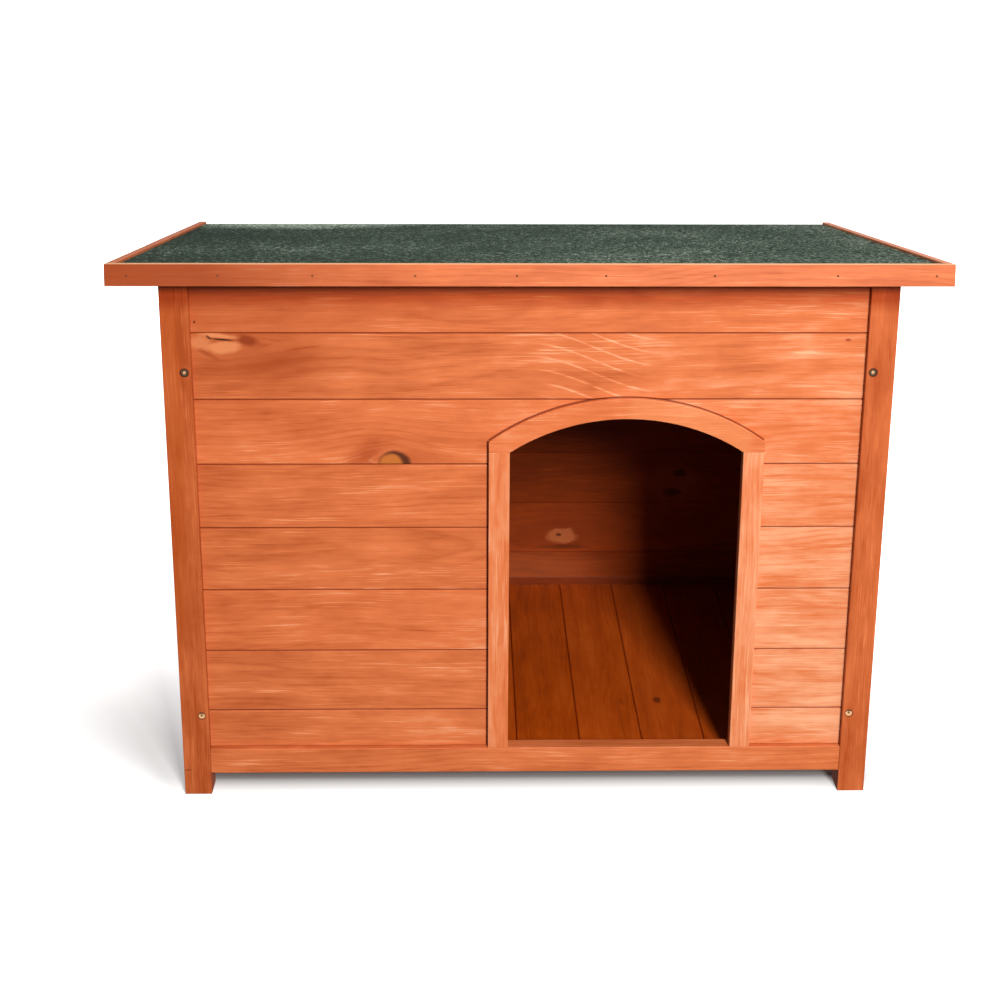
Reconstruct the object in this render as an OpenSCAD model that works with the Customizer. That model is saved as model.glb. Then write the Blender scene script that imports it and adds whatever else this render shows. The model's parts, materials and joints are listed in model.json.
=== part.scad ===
// Wooden kennel: a plank cabin on four legs, an arched doorway and a hinged felt roof that falls
// to the back. Lengths are in millimetres and angles in degrees. The origin is on the ground under
// the middle of the roof, +X is to the right as seen from the doorway, +Y to the back and +Z up.
// The cabin is drawn from its front legs' face backwards and the roof from its front edge down the
// slope, and in_place() then moves both to the origin.

/* [Roof] */
// Reach of the roof beyond the legs at each side
side_over = 68; // [50:1:120]
// Reach of the roof behind the legs, measured down the slope
rear_over = 114; // [90:1:150]
// Fall of the roof to the back
roof_slope = 7.6; // [5:0.2:10]
// Reach of the roof in front of the legs
front_over = 22; // [21:1:36]
// Thickness of the roof deck
deck_t = 14; // [10:1:18]
// Thickness of the mineral felt
felt_t = 2; // [1.5:0.5:3]
// Depth of the felt turned down over the rear edge
felt_lip = 16; // [10:1:20]
// Height of the trims round the roof
trim_h = 31; // [28:1:40]
// Thickness of the trims round the roof
trim_t = 12; // [10:1:20]
// Height of the trims above the felt
trim_rise = 4; // [3:1:10]
// Width of the battens under the deck
batten_w = 30; // [24:1:40]
// Depth of the battens under the deck
batten_h = 22; // [18:1:26]
// Width to which the roof opens
roof_open = 70; // [60:1:75]

/* [Cabin] */
// Width over the legs
body_w = 1024; // [990:2:1040]
// Depth over the legs
body_d = 660; // [640:5:680]
// Height from the lower edge of the front's top board to the top of the front legs
top_board_h = 82.6; // [70:0.2:97]
// Width of a leg
leg_w = 40; // [37:1:44]
// Depth of a leg
leg_d = 38; // [37:1:42]
// Clear height under the bottom rails
foot_h = 35; // [30:1:40]
// Height of the rails
rail_h = 40; // [36:1:44]
// Thickness of the front and rear bottom rails
rail_t = 24; // [22:1:26]
// Set-back of the front bottom rail behind the legs
rail_in = 1; // [1:1:3]
// Set-back of the rear bottom rail from the legs' backs
rear_rail_in = 14; // [13:1:15]
// Set-back of the side bottom rails behind the legs
side_rail_in = 2; // [1:1:4]
// Set-back of the side boards behind the legs
side_in = 8; // [6:1:10]
// Width of the stiles inside the walls
stile_w = 39; // [34:1:44]
// Thickness of the stiles and top rails inside the walls
stile_t = 22; // [20:1:26]

/* [Boards] */
// Thickness of a board
board_t = 12; // [11:1:13]
// Set-back of the front boards behind the legs
board_in = 9; // [8:1:11]
// Height of a board's visible face
board_pitch = 97; // [96:0.2:99]
// Height of the ripped board on the bottom rail, at the front and the sides
first_board_h = 60.4; // [56:0.2:66]
// Height of the ripped board on the rear bottom rail
rear_first_h = 51.6; // [48:0.2:56]
// Size of the bevels that make the V joints
bevel = 1.6; // [1:0.1:2.5]
// Length of a tongue
tongue_h = 6; // [4:0.5:8]
// Thickness of a tongue
tongue_t = 4; // [3:0.5:5]

/* [Doorway] */
// Width of the front boards between the doorway and the right leg
door_in = 167; // [150:0.5:190]
// Width of the doorway
door_w = 332.5; // [310:0.5:350]
// Height of the arch's springing above the lower edge of the board that it is cut in
spring_up = 20; // [10:0.2:24]
// Rise of the arch
arch_rise = 50; // [44:1:58]
// Width of the doorway trim
door_trim_w = 30; // [26:1:36]
// Thickness of the doorway trim
door_trim_t = 8; // [6:1:9]
// Set-back of the door stiles from the edges of the doorway
door_stile_in = 8; // [6:1:14]

/* [Floor] */
// Depth of the floor below the sill
floor_drop = 15; // [12:1:18]
// Width of a floor board's visible face
floor_pitch = 95.8; // [92:0.2:98]
// Width of a floor bearer
bearer_w = 22; // [20:1:30]
// Height of a floor bearer
bearer_h = 20; // [16:1:24]

/* [Hinges] */
// Distance of each hinge's middle from the leg beside it
hinge_in = 172; // [100:4:240]
// Length of a hinge
hinge_w = 60; // [52:2:70]
// Thickness of a hinge leaf
leaf_t = 2; // [1.5:0.5:2]
// Reach of a hinge leaf from the pin
leaf_l = 32; // [30:1:36]
// Radius of the hinge knuckles
knuckle_r = 4; // [3.5:0.5:4]
// Radius of the hinge pins
pin_r = 2; // [1.5:0.5:2]

/* [Stay] */
// Distance of the stay's rivet from the hinge line
stay_reach = 250; // [230:5:260]
// Distance of the stud behind the rivet with the roof shut
stud_back = 30; // [28:1:36]
// Width of the stay
stay_w = 18; // [16:1:20]
// Thickness of the stay
stay_t = 3; // [2:0.5:3]
// Radius of the stud
stud_r = 4; // [3:0.5:4]
// Radius of the stay's rivet
rivet_r = 2.5; // [2:0.5:3]

/* [Fixings] */
// Height of the lower leg screws
screw_low = 131; // [120:1:150]
// Distance of the upper leg screws from the top of the front legs
screw_down = 137.5; // [130:0.5:160]
// Distance of the leg screws from a leg's outer side
screw_in = 30.3; // [27:0.1:32]
// Length of a leg screw
screw_l = 54; // [48:1:56]
// Radius of a leg screw's shank
screw_r = 2.25; // [2:0.25:2.5]
// Distance of the outer brads from the ends of the front fascia
brad_end = 30; // [20:1:60]

/* [Hidden] */
$fn = 48;

honey_wood = [0.85, 0.46, 0.25];
inner_wood = [0.70, 0.38, 0.18];
green_felt = [0.28, 0.34, 0.28];
yellow_zinc = [0.78, 0.66, 0.38];
bright_zinc = [0.72, 0.73, 0.75];

// Gap between neighbouring boards, and between other pieces that are laid side by side
lay_gap = 0.3;
// Play of a tongue in its groove and of a screw in its hole
play = 0.05;
// Spare depth of a screw's hole
hole_spare = 0.5;
// Radius of a screw's point
point_r = 0.3;
// Length by which shapes that are joined run into each other
lap = 1;
// Spare length of the shapes that cut others
spare = 20;

// Spare depth of a groove beyond its tongue
groove_spare = 1;

// Planes of the cabin, from the legs' front face backwards and from the middle outwards
board_back = board_in + board_t;
rear_board_in = leg_d - board_t;
rail_back = rail_in + rail_t;
rear_rail_front = body_d - rear_rail_in - rail_t;
sill_z = foot_h + rail_h;
floor_z = sill_z - floor_drop;
leg_x = body_w / 2 - leg_w;
side_x = body_w / 2 - side_in - board_t;
stile_x = side_x - stile_w;
rail_x = side_x - stile_t;
inner_front = leg_d + stile_t;
inner_rear = body_d - inner_front;

// Rows of boards: row 0 stands on the bottom rail, one row holds the arch, and two more reach
// the roof at the front
arch_row = 5;
front_last = arch_row + 2;
function row_low(k, first = first_board_h) = k == 0 ? sill_z : sill_z + first + (k - 1) * board_pitch;

// Height of the plane that the closed roof rests on
front_h = row_low(front_last) + top_board_h;
function seat_z(y) = front_h - y * tan(roof_slope);

// Heads of the leg screws, sunk below the legs' faces in wider holes
leg_head_r = 4.8;
leg_sink = 0.8;
leg_ring = 0.7;

least_rip = 30;
rear_last = floor((seat_z(body_d) - least_rip - row_low(1, rear_first_h)) / board_pitch) + 1;
side_len = body_d - 2 * leg_d;

// Undersides of the front and rear top rails
front_rail_z = seat_z(board_back) - rail_h;
rear_rail_y = body_d - rear_board_in;
rear_rail_z = seat_z(rear_rail_y) - rail_h;

// Arch of the doorway
spring_z = row_low(arch_row) + spring_up;
arch_r = (pow(door_w / 2, 2) + pow(arch_rise, 2)) / (2 * arch_rise);
arch_z = spring_z + arch_rise - arch_r;
door_right = leg_x - door_in;
door_left = door_right - door_w;
door_x = (door_left + door_right) / 2;

// Floor boards, inside the side boards and between the bottom rails
floor_x = side_x - lay_gap;
floor_front = rail_back + lay_gap;
floor_len = rear_rail_front - lay_gap - floor_front;
floor_n = ceil(2 * floor_x / floor_pitch);

// Roof, in its own frame: its length runs down the slope, and height 0 is the deck's underside
roof_w = body_w + 2 * side_over;
roof_len = (front_over + body_d) / cos(roof_slope) + rear_over;
deck_low = -(trim_h - deck_t - felt_t - trim_rise);
felt_z = deck_t + felt_t;
trim_top = felt_z + trim_rise;
trim_x = roof_w / 2 - trim_t;
// Battens, clear of the wall's insides by the play that lets the roof swing
batten_front_play = 6;
batten_rear_play = 12;
batten_front = (front_over + inner_front + batten_front_play) / cos(roof_slope);
batten_rear = (front_over + inner_rear - batten_rear_play) / cos(roof_slope) - batten_w;
// Brads of the front fascia
brad_r = 0.9;
brad_head_r = 1.6;
brad_head_t = 1;
brad_l = 30;
brad_z = 3.5;
// Drift of each brad from even spacing, as they are driven by eye
brad_drift = [0, -14, -23, -21, -20, -36, -25, 6, 4];

// Hinge line: a knuckle's radius and a gap off the legs' back and the deck's underside
knuckle_gap = 1;
hinge_off = knuckle_r + knuckle_gap;
hinge_x = leg_x - hinge_in;
hinge_y = body_d + hinge_off;
hinge_z = seat_z(hinge_y) + lay_gap - hinge_off / cos(roof_slope);
hinge_s = (front_over + hinge_y) / cos(roof_slope) + hinge_off * tan(roof_slope);
knuckle_end = 10.5;
knuckle_play = 0.5;
pin_head_t = 1;
pin_head_rim = 1;
leaf_start = knuckle_r + knuckle_gap;
hinge_screw_x = 18;
hinge_screw_drop = (leaf_start + leaf_l) / 2;
small_screw_r = 1.75;
small_head_r = 3.4;
wall_screw_l = 20;
roof_screw_l = deck_t;

// Roof stay: the rivet under the roof, the stud on the left top rail, and the arm between them
// with the roof open
rivet_drop = 14;
rivet_head_t = 1.2;
rivet_rim = 2;
stay_gap = 0.7;
stay_off = 2.5;
stay_x = -rail_x + stay_off;
stay_s = hinge_s - stay_reach;
stay_lip = 1;
stay_end = stay_w / 2 + stay_lip;
stud_play = 0.4;
stud_l = 6.5;
stud_shank_l = 15;
stud_head_r = 6;
stud_head_t = 1.5;
stud_drop = 20;
bracket_t = 2;
bracket_x = stay_x + stay_t + stay_gap;
bracket_base = 22;
bracket_l = 36;
function from_hinge(s, n, fall) =
    [hinge_y + s * cos(fall) + n * sin(fall), hinge_z - s * sin(fall) + n * cos(fall)];
rivet_shut = from_hinge(-stay_reach, hinge_off - rivet_drop, roof_slope);
rivet_open = from_hinge(-stay_reach, hinge_off - rivet_drop, roof_slope + roof_open);
stud_y = rivet_shut[0] + stud_back;
stud_z = seat_z(stud_y) - stud_drop;
stay_l = norm([stud_y, stud_z] - rivet_open);

// Roof's reach to the front and back, which centres the part on its origin
roof_front_y = -front_over + deck_low * sin(roof_slope);
roof_rear_y = -front_over + roof_len * cos(roof_slope) + trim_top * sin(roof_slope);
front_y = -(roof_front_y + roof_rear_y) / 2;

// Helpers

// Moves the cabin's frame to the origin of the part
module in_place() {
    translate([0, front_y, 0]) children();
}

// Places what is drawn in the roof's frame on the seat
module on_roof() {
    translate([0, -front_over, seat_z(-front_over) + lay_gap]) rotate([-roof_slope, 0, 0]) children();
}

// Draws a piece and its mirror image on the other side
module both_sides() {
    children();
    mirror([1, 0, 0]) children();
}

// Turns the back of the cabin to the front, so that the front's shapes serve there too
module at_rear() {
    translate([0, body_d, 0]) rotate([0, 0, 180]) children();
}

// A box from its low corner to its high corner
module block(low, high) {
    translate(low) cube(high - low);
}

// Extrudes a section, drawn with depth across and height up, from x0 to x1
module along_x(x0, x1) {
    rotate([90, 0, 90]) translate([0, 0, x0]) linear_extrude(x1 - x0) children();
}

// A bar along X whose top follows the seat from y0 to y1
module seat_bar(x0, x1, y0, y1, low) {
    along_x(x0, x1) polygon([[y0, low], [y1, low], [y1, seat_z(y1)], [y0, seat_z(y0)]]);
}

// All that lies under the seat
module under_seat() {
    seat_bar(-roof_w / 2, roof_w / 2, -spare, body_d + spare, -spare);
}

// Section of a board from height low to height high, its face at depth 0
module board_section(low, high, groove, tongue) {
    bottom = low + lay_gap / 2;
    top = high - lay_gap / 2;
    tongue_in = (board_t - tongue_t) / 2;
    difference() {
        union() {
            polygon([
                [0, bottom + bevel], [bevel, bottom], [board_t, bottom],
                [board_t, top], [bevel, top], [0, top - bevel]
            ]);
            if (tongue) translate([tongue_in, top - lap]) square([tongue_t, tongue_h + lap]);
        }
        if (groove) {
            translate([tongue_in - play, bottom - lap]) {
                square([tongue_t + 2 * play, tongue_h + groove_spare + lap]);
            }
        }
    }
}

// One board of a wall's row, from x0 to x1, its face to the front at depth 0
module wall_board(k, x0, x1, last, first = first_board_h) {
    high = k == last ? front_h + spare : row_low(k + 1, first);
    along_x(x0, x1) board_section(row_low(k, first), high, k > 0, k < last);
}

// Countersunk wood screw, its head's top at the origin and its shank along +Y
module wood_screw(r, head_r, length) {
    cone_l = head_r - r;
    difference() {
        rotate([-90, 0, 0]) {
            cylinder(r1 = head_r, r2 = r, h = cone_l);
            cylinder(r = r, h = length - 2 * r);
            translate([0, 0, length - 2 * r]) cylinder(r1 = r, r2 = point_r, h = 2 * r);
        }
        for (turn = [0, 90]) {
            rotate([0, turn, 0]) {
                block([-head_r * 0.55, -lap, -head_r * 0.11], [head_r * 0.55, cone_l * 0.7, head_r * 0.11]);
            }
        }
    }
}

// Space that a countersunk screw needs, its head at the foot of a hole wider by ring
module screw_space(r, head_r, length, ring) {
    rotate([-90, 0, 0]) {
        translate([0, 0, -spare]) cylinder(r = head_r + ring, h = spare);
        cylinder(r1 = head_r + play, r2 = r + play, h = head_r - r);
        cylinder(r = r + play, h = length + hole_spare);
    }
}

// Cabin frame

// Puts what is drawn for a leg screw at the two screws of a leg on the left
module at_leg_screws() {
    for (z = [screw_low, front_h - screw_down]) {
        translate([-body_w / 2 + screw_in, leg_sink, z]) children();
    }
}

module leg_screw_spaces() {
    at_leg_screws() screw_space(screw_r, leg_head_r, screw_l, leg_ring);
}

// Left leg at the front, from the ground to the seat
module front_leg() {
    difference() {
        seat_bar(-body_w / 2, -leg_x, 0, leg_d, 0);
        leg_screw_spaces();
    }
}

// Left leg at the back
module rear_leg() {
    difference() {
        seat_bar(-body_w / 2, -leg_x, body_d - leg_d, body_d, 0);
        mirror([1, 0, 0]) at_rear() leg_screw_spaces();
    }
}

// Bottom rail between two legs, set back by the given depth; the front one is the doorway's sill
module bottom_rail(set_back) {
    block([-leg_x, set_back, foot_h], [leg_x, set_back + rail_t, sill_z]);
}

// Bottom rail of the left wall
module side_bottom_rail() {
    block([-body_w / 2 + side_rail_in, leg_d, foot_h], [-side_x, body_d - leg_d, sill_z]);
}

// Top rail of the left wall, inside the boards, with the hole of the stud in it
module side_top_rail(stud_hole) {
    difference() {
        along_x(-side_x, -rail_x) polygon([
            [inner_front, seat_z(inner_front) - rail_h], [inner_rear, seat_z(inner_rear) - rail_h],
            [inner_rear, seat_z(inner_rear)], [inner_front, seat_z(inner_front)]
        ]);
        if (stud_hole) {
            at_stud() cylinder(r = rivet_r + play, h = 2 * (stud_shank_l + hole_spare), center = true);
        }
    }
}

// Stile in the left front corner, between the floor and the seat, rebated round the leg's inner
// corner so that it backs the boards
module front_stile() {
    difference() {
        union() {
            seat_bar(-side_x, -stile_x, leg_d, inner_front, floor_z);
            seat_bar(-leg_x, -stile_x, board_back, leg_d + lap, sill_z);
        }
        leg_screw_spaces();
    }
}

// Stile in the left rear corner
module rear_stile() {
    difference() {
        seat_bar(-side_x, -stile_x, inner_rear, body_d - leg_d, floor_z);
        mirror([1, 0, 0]) at_rear() leg_screw_spaces();
    }
}

// Top rail behind the front boards
module inner_top_rail() {
    seat_bar(-stile_x, stile_x, board_back, board_back + stile_t, front_rail_z);
}

// Top rail outside the rear boards, which carries the hinges
module outer_top_rail() {
    difference() {
        seat_bar(-leg_x, leg_x, rear_rail_y, body_d, rear_rail_z);
        at_wall_screws() screw_space(small_screw_r, small_head_r, wall_screw_l, play);
    }
}

// Stile behind the cut board ends, from x0 to the right, standing on the bottom rail
module door_stile(x0) {
    block([x0, board_back, sill_z], [x0 + door_trim_w, board_back + stile_t, front_rail_z]);
}

// Doorway

// Outline of the opening, with its foot at height low
module door_outline(low) {
    translate([-door_w / 2, low]) square([door_w, spring_z - low]);
    intersection() {
        translate([0, arch_z]) circle(r = arch_r, $fn = 96);
        translate([-door_w / 2, spring_z - lap]) square([door_w, arch_rise + spare]);
    }
}

// Extrudes a shape drawn in the plane of the front wall from depth y0 to depth y1
module along_y(y0, y1) {
    translate([0, y1, 0]) rotate([90, 0, 0]) linear_extrude(y1 - y0) children();
}

// Jamb of the trim, from x0 to the right, standing on the sill
module jamb(x0) {
    block([x0, board_in - door_trim_t, sill_z], [x0 + door_trim_w, board_in, spring_z]);
}

// Arched header on the two jambs
module arch_header() {
    outer_w = door_w + 2 * door_trim_w;
    translate([door_x, 0, 0]) along_y(board_in - door_trim_t, board_in) difference() {
        intersection() {
            translate([0, arch_z]) circle(r = arch_r + door_trim_w, $fn = 96);
            translate([-outer_w / 2, spring_z]) square([outer_w, arch_rise + door_trim_w + spare]);
        }
        translate([0, arch_z]) circle(r = arch_r, $fn = 96);
    }
}

// Front boards

module left_front_board(k) {
    translate([0, board_in, 0]) wall_board(k, -leg_x, door_left, front_last);
}

module right_front_board(k) {
    translate([0, board_in, 0]) wall_board(k, door_right, leg_x, front_last);
}

module full_front_board(k) {
    intersection() {
        translate([0, board_in, 0]) wall_board(k, -leg_x, leg_x, front_last);
        under_seat();
    }
}

// Board over the doorway, cut to its arch
module arched_board() {
    difference() {
        full_front_board(arch_row);
        translate([door_x, 0, 0]) along_y(0, inner_front) door_outline(0);
    }
}

// Side and rear boards

// Boards of the left wall, their faces to the left
module side_boards() {
    for (k = [0 : front_last]) {
        intersection() {
            translate([-body_w / 2 + side_in, body_d - leg_d, 0]) rotate([0, 0, -90]) {
                wall_board(k, 0, side_len, front_last);
            }
            under_seat();
        }
    }
}

module rear_boards() {
    for (k = [0 : rear_last]) {
        intersection() {
            at_rear() translate([0, rear_board_in, 0]) wall_board(k, -leg_x, leg_x, rear_last, rear_first_h);
            under_seat();
        }
    }
}

// Floor

// Space of the four legs, with a gap round them
module leg_spaces() {
    both_sides() for (y = [0, body_d - leg_d]) {
        block([-body_w / 2, y - lay_gap, 0], [-leg_x + lay_gap, y + leg_d + lay_gap, front_h]);
    }
}

// Floor boards laid from the left wall to the right, the last one ripped to the width left
module floor_planks() {
    for (k = [0 : floor_n - 1]) {
        x0 = -floor_x + k * floor_pitch;
        width = min(floor_pitch, floor_x - x0);
        difference() {
            translate([x0, floor_front + floor_len, floor_z]) rotate([0, 90, -90]) linear_extrude(floor_len) {
                board_section(0, width, k > 0, k < floor_n - 1);
            }
            leg_spaces();
        }
    }
}

// Bearers of the floor: behind the front rail, across the middle and before the rear rail
module bearers() {
    top = floor_z - board_t;
    low = top - bearer_h;
    end_x = leg_x - lay_gap;
    mid_x = side_x - lay_gap;
    block([-end_x, rail_back, low], [end_x, rail_back + bearer_w, top]);
    block([-mid_x, (body_d - bearer_w) / 2, low], [mid_x, (body_d + bearer_w) / 2, top]);
    block([-end_x, rear_rail_front - bearer_w, low], [end_x, rear_rail_front, top]);
}

// Roof, each piece in the roof's frame

module deck() {
    difference() {
        block([-trim_x, trim_t, 0], [trim_x, roof_len - trim_t - felt_t, deck_t]);
        at_roof_screws() screw_space(small_screw_r, small_head_r, roof_screw_l, play);
        at_bracket_screws() screw_space(small_screw_r, small_head_r, roof_screw_l, play);
        brad_spaces();
    }
}

// Felt on the deck, turned down over the rear fascia
module felt_sheet() {
    block([-trim_x, trim_t, deck_t], [trim_x, roof_len, felt_z]);
    block([-trim_x, roof_len - felt_t, felt_z - felt_lip], [trim_x, roof_len, felt_z]);
}

module fascia_front() {
    difference() {
        block([-roof_w / 2, 0, deck_low], [roof_w / 2, trim_t, trim_top]);
        brad_spaces();
    }
}

module fascia_rear() {
    block([-trim_x, roof_len - trim_t - felt_t, deck_low], [trim_x, roof_len - felt_t, deck_t]);
}

// Trim along the left edge, standing above the felt
module side_trim() {
    block([-roof_w / 2, trim_t, deck_low], [-trim_x, roof_len, trim_top]);
}

// Batten across the deck's underside, its front edge at length s
module cross_batten(s) {
    block([-stile_x, s, -batten_h], [stile_x, s + batten_w, 0]);
}

// Puts what is drawn for a brad at each brad of the front fascia
module at_brads() {
    step = (roof_w - 2 * brad_end) / (len(brad_drift) - 1);
    for (i = [0 : len(brad_drift) - 1]) {
        x = -roof_w / 2 + brad_end + i * step + brad_drift[i];
        translate([x, 0, brad_z]) rotate([-90, 0, 0]) children();
    }
}

module brad() {
    cylinder(r = brad_head_r, h = brad_head_t);
    cylinder(r = brad_r, h = brad_l);
}

module brad_spaces() {
    at_brads() {
        translate([0, 0, -lap]) cylinder(r = brad_head_r + play, h = brad_head_t + lap);
        cylinder(r = brad_r + play, h = brad_l + hole_spare);
    }
}

// Hinges

// Puts what is drawn for a wall leaf's screw at each of its screws, pointing to the front
module at_wall_screws() {
    for (side = [-1, 1], step = [-1, 1]) {
        translate([side * hinge_x + step * hinge_screw_x, body_d + leaf_t, hinge_z - hinge_screw_drop]) {
            rotate([0, 0, 180]) children();
        }
    }
}

// Puts what is drawn for a roof leaf's screw at each of its screws, pointing up into the deck
module at_roof_screws() {
    for (side = [-1, 1], step = [-1, 1]) {
        translate([side * hinge_x + step * hinge_screw_x, hinge_s + hinge_screw_drop, -leaf_t]) {
            rotate([90, 0, 0]) children();
        }
    }
}

// Knuckle round the hinge line, along X from x0 to x1
module knuckle(x0, x1) {
    translate([x0, 0, 0]) rotate([0, 90, 0]) cylinder(r = knuckle_r, h = x1 - x0);
}

module pin_bore(slack) {
    rotate([0, 90, 0]) cylinder(r = pin_r + slack, h = hinge_w + spare, center = true);
}

// Leaf on the rear top rail, with the two outer knuckles
module wall_leaf() {
    plate_y = [-hinge_off, -hinge_off + leaf_t];
    difference() {
        both_sides() {
            block([0, plate_y[0], -leaf_l], [hinge_w / 2, plate_y[1], -leaf_start]);
            block([knuckle_end, plate_y[0], -leaf_start - lap], [hinge_w / 2, plate_y[1], 0]);
            knuckle(knuckle_end, hinge_w / 2);
        }
        pin_bore(play / 2);
    }
}

module wall_leaves() {
    difference() {
        for (side = [-1, 1]) translate([side * hinge_x, hinge_y, hinge_z]) wall_leaf();
        at_wall_screws() screw_space(small_screw_r, small_head_r, wall_screw_l, play);
    }
}

// Leaf under the deck, with the middle knuckle, in the roof's frame
module roof_leaf() {
    tab = knuckle_end - knuckle_play;
    plate_z = [hinge_off - leaf_t, hinge_off];
    difference() {
        union() {
            block([-hinge_w / 2, leaf_start, plate_z[0]], [hinge_w / 2, leaf_l, plate_z[1]]);
            block([-tab, 0, plate_z[0]], [tab, leaf_start + lap, plate_z[1]]);
            knuckle(-tab, tab);
        }
        pin_bore(play);
    }
}

module roof_leaves() {
    difference() {
        for (side = [-1, 1]) translate([side * hinge_x, hinge_s, -hinge_off]) roof_leaf();
        at_roof_screws() screw_space(small_screw_r, small_head_r, roof_screw_l, play);
    }
}

// Pins with a flat head at each end
module pins() {
    length = hinge_w + 2 * lay_gap + 2 * pin_head_t;
    for (side = [-1, 1]) translate([side * hinge_x, hinge_y, hinge_z]) rotate([0, 90, 0]) {
        cylinder(r = pin_r, h = length, center = true);
        for (end = [-1, 1]) {
            translate([0, 0, end * (length - pin_head_t) / 2]) {
                cylinder(r = pin_r + pin_head_rim, h = pin_head_t, center = true);
            }
        }
    }
}

// Stay

// Puts the stud's axis along X, with the inner face of the left top rail at height 0
module at_stud() {
    translate([-rail_x, stud_y, stud_z]) rotate([0, 90, 0]) children();
}

// Stud on the left top rail that the open stay hooks on
module stud() {
    at_stud() {
        translate([0, 0, -stud_shank_l]) cylinder(r = rivet_r, h = stud_shank_l + lap);
        cylinder(r = stud_r, h = stud_l);
        translate([0, 0, stud_l]) cylinder(r = stud_head_r, h = stud_head_t);
    }
}

// Puts the rivet's axis along X, with the outer face of the stay at height 0, in the roof's frame
module at_rivet() {
    translate([stay_x, stay_s, -rivet_drop]) rotate([0, 90, 0]) children();
}

// Puts what is drawn for a bracket screw at each of them, pointing up into the deck
module at_bracket_screws() {
    for (end = [-1, 1]) {
        translate([bracket_x + (bracket_base + bracket_t) / 2, stay_s + end * bracket_l / 3, -bracket_t]) {
            rotate([90, 0, 0]) children();
        }
    }
}

// Angle under the deck that carries the stay
module bracket() {
    s0 = stay_s - bracket_l / 2;
    difference() {
        union() {
            block([bracket_x, s0, -bracket_t], [bracket_x + bracket_base, s0 + bracket_l, 0]);
            translate([bracket_x, stay_s, 0]) {
                block([0, -stay_w / 2, -rivet_drop], [bracket_t, stay_w / 2, -bracket_t / 2]);
                translate([0, 0, -rivet_drop]) rotate([0, 90, 0]) cylinder(d = stay_w, h = bracket_t);
            }
        }
        at_rivet() cylinder(r = rivet_r + play / 2, h = spare);
        at_bracket_screws() screw_space(small_screw_r, small_head_r, roof_screw_l, play);
    }
}

// Rivet through the bracket and the stay, with a head at each end
module rivet() {
    head_r = rivet_r + rivet_rim;
    end = stay_t + stay_gap + bracket_t;
    start = -stay_gap / 2 - rivet_head_t;
    at_rivet() {
        translate([0, 0, start]) cylinder(r = head_r, h = rivet_head_t);
        translate([0, 0, start]) cylinder(r = rivet_r, h = end - start + rivet_head_t);
        translate([0, 0, end]) cylinder(r = head_r, h = rivet_head_t);
    }
}

// Flat arm, folded to the front under the roof, with a fork at its end for the stud
module stay_arm() {
    fork_w = 2 * (stud_r + stud_play);
    translate([stay_x, stay_s, -rivet_drop]) rotate([90, 0, 90]) linear_extrude(stay_t) difference() {
        union() {
            circle(d = stay_w);
            translate([-stay_l - stay_end, -stay_w / 2]) square([stay_l + stay_end, stay_w]);
        }
        circle(r = rivet_r + play);
        translate([-stay_l, 0]) circle(d = fork_w);
        translate([-stay_l - stay_end - lap, -fork_w / 2]) square([stay_end + lap, fork_w]);
    }
}

// Sub-parts

module front_leg_left() { color(honey_wood) in_place() front_leg(); }
module front_leg_right() { color(honey_wood) in_place() mirror([1, 0, 0]) front_leg(); }
module rear_leg_left() { color(honey_wood) in_place() rear_leg(); }
module rear_leg_right() { color(honey_wood) in_place() mirror([1, 0, 0]) rear_leg(); }
module front_bottom_rail() { color(honey_wood) in_place() bottom_rail(rail_in); }
module rear_bottom_rail() { color(honey_wood) in_place() at_rear() bottom_rail(rear_rail_in); }
module left_bottom_rail() { color(honey_wood) in_place() side_bottom_rail(); }
module right_bottom_rail() { color(honey_wood) in_place() mirror([1, 0, 0]) side_bottom_rail(); }
module front_top_rail() { color(inner_wood) in_place() inner_top_rail(); }
module rear_top_rail() { color(honey_wood) in_place() outer_top_rail(); }
module left_top_rail() { color(inner_wood) in_place() side_top_rail(true); }
module right_top_rail() { color(inner_wood) in_place() mirror([1, 0, 0]) side_top_rail(false); }
module front_left_stile() { color(inner_wood) in_place() front_stile(); }
module front_right_stile() { color(inner_wood) in_place() mirror([1, 0, 0]) front_stile(); }
module rear_left_stile() { color(inner_wood) in_place() rear_stile(); }
module rear_right_stile() { color(inner_wood) in_place() mirror([1, 0, 0]) rear_stile(); }
module left_door_stile() { color(inner_wood) in_place() door_stile(door_left - door_stile_in - door_trim_w); }
module right_door_stile() { color(inner_wood) in_place() door_stile(door_right + door_stile_in); }
module left_door_jamb() { color(honey_wood) in_place() jamb(door_left - door_trim_w); }
module right_door_jamb() { color(honey_wood) in_place() jamb(door_right); }
module door_arch() { color(honey_wood) in_place() arch_header(); }
module left_board(k) { color(honey_wood) in_place() left_front_board(k); }
module right_board(k) { color(honey_wood) in_place() right_front_board(k); }
module arch_front_board() { color(honey_wood) in_place() arched_board(); }
module upper_front_board() { color(honey_wood) in_place() full_front_board(arch_row + 1); }
module top_front_board() { color(honey_wood) in_place() full_front_board(arch_row + 2); }
module left_wall_boards() { color(honey_wood) in_place() side_boards(); }
module right_wall_boards() { color(honey_wood) in_place() mirror([1, 0, 0]) side_boards(); }
module rear_wall_boards() { color(honey_wood) in_place() rear_boards(); }
module floor_boards() { color(inner_wood) in_place() floor_planks(); }
module floor_bearers() { color(inner_wood) in_place() bearers(); }

module leg_screws() {
    color(yellow_zinc) in_place() both_sides() {
        at_leg_screws() wood_screw(screw_r, leg_head_r, screw_l);
        at_rear() at_leg_screws() wood_screw(screw_r, leg_head_r, screw_l);
    }
}

module hinge_wall_leaves() { color(bright_zinc) in_place() wall_leaves(); }
module hinge_pins() { color(bright_zinc) in_place() pins(); }

module hinge_wall_screws() {
    color(bright_zinc) in_place() at_wall_screws() wood_screw(small_screw_r, small_head_r, wall_screw_l);
}

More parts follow.
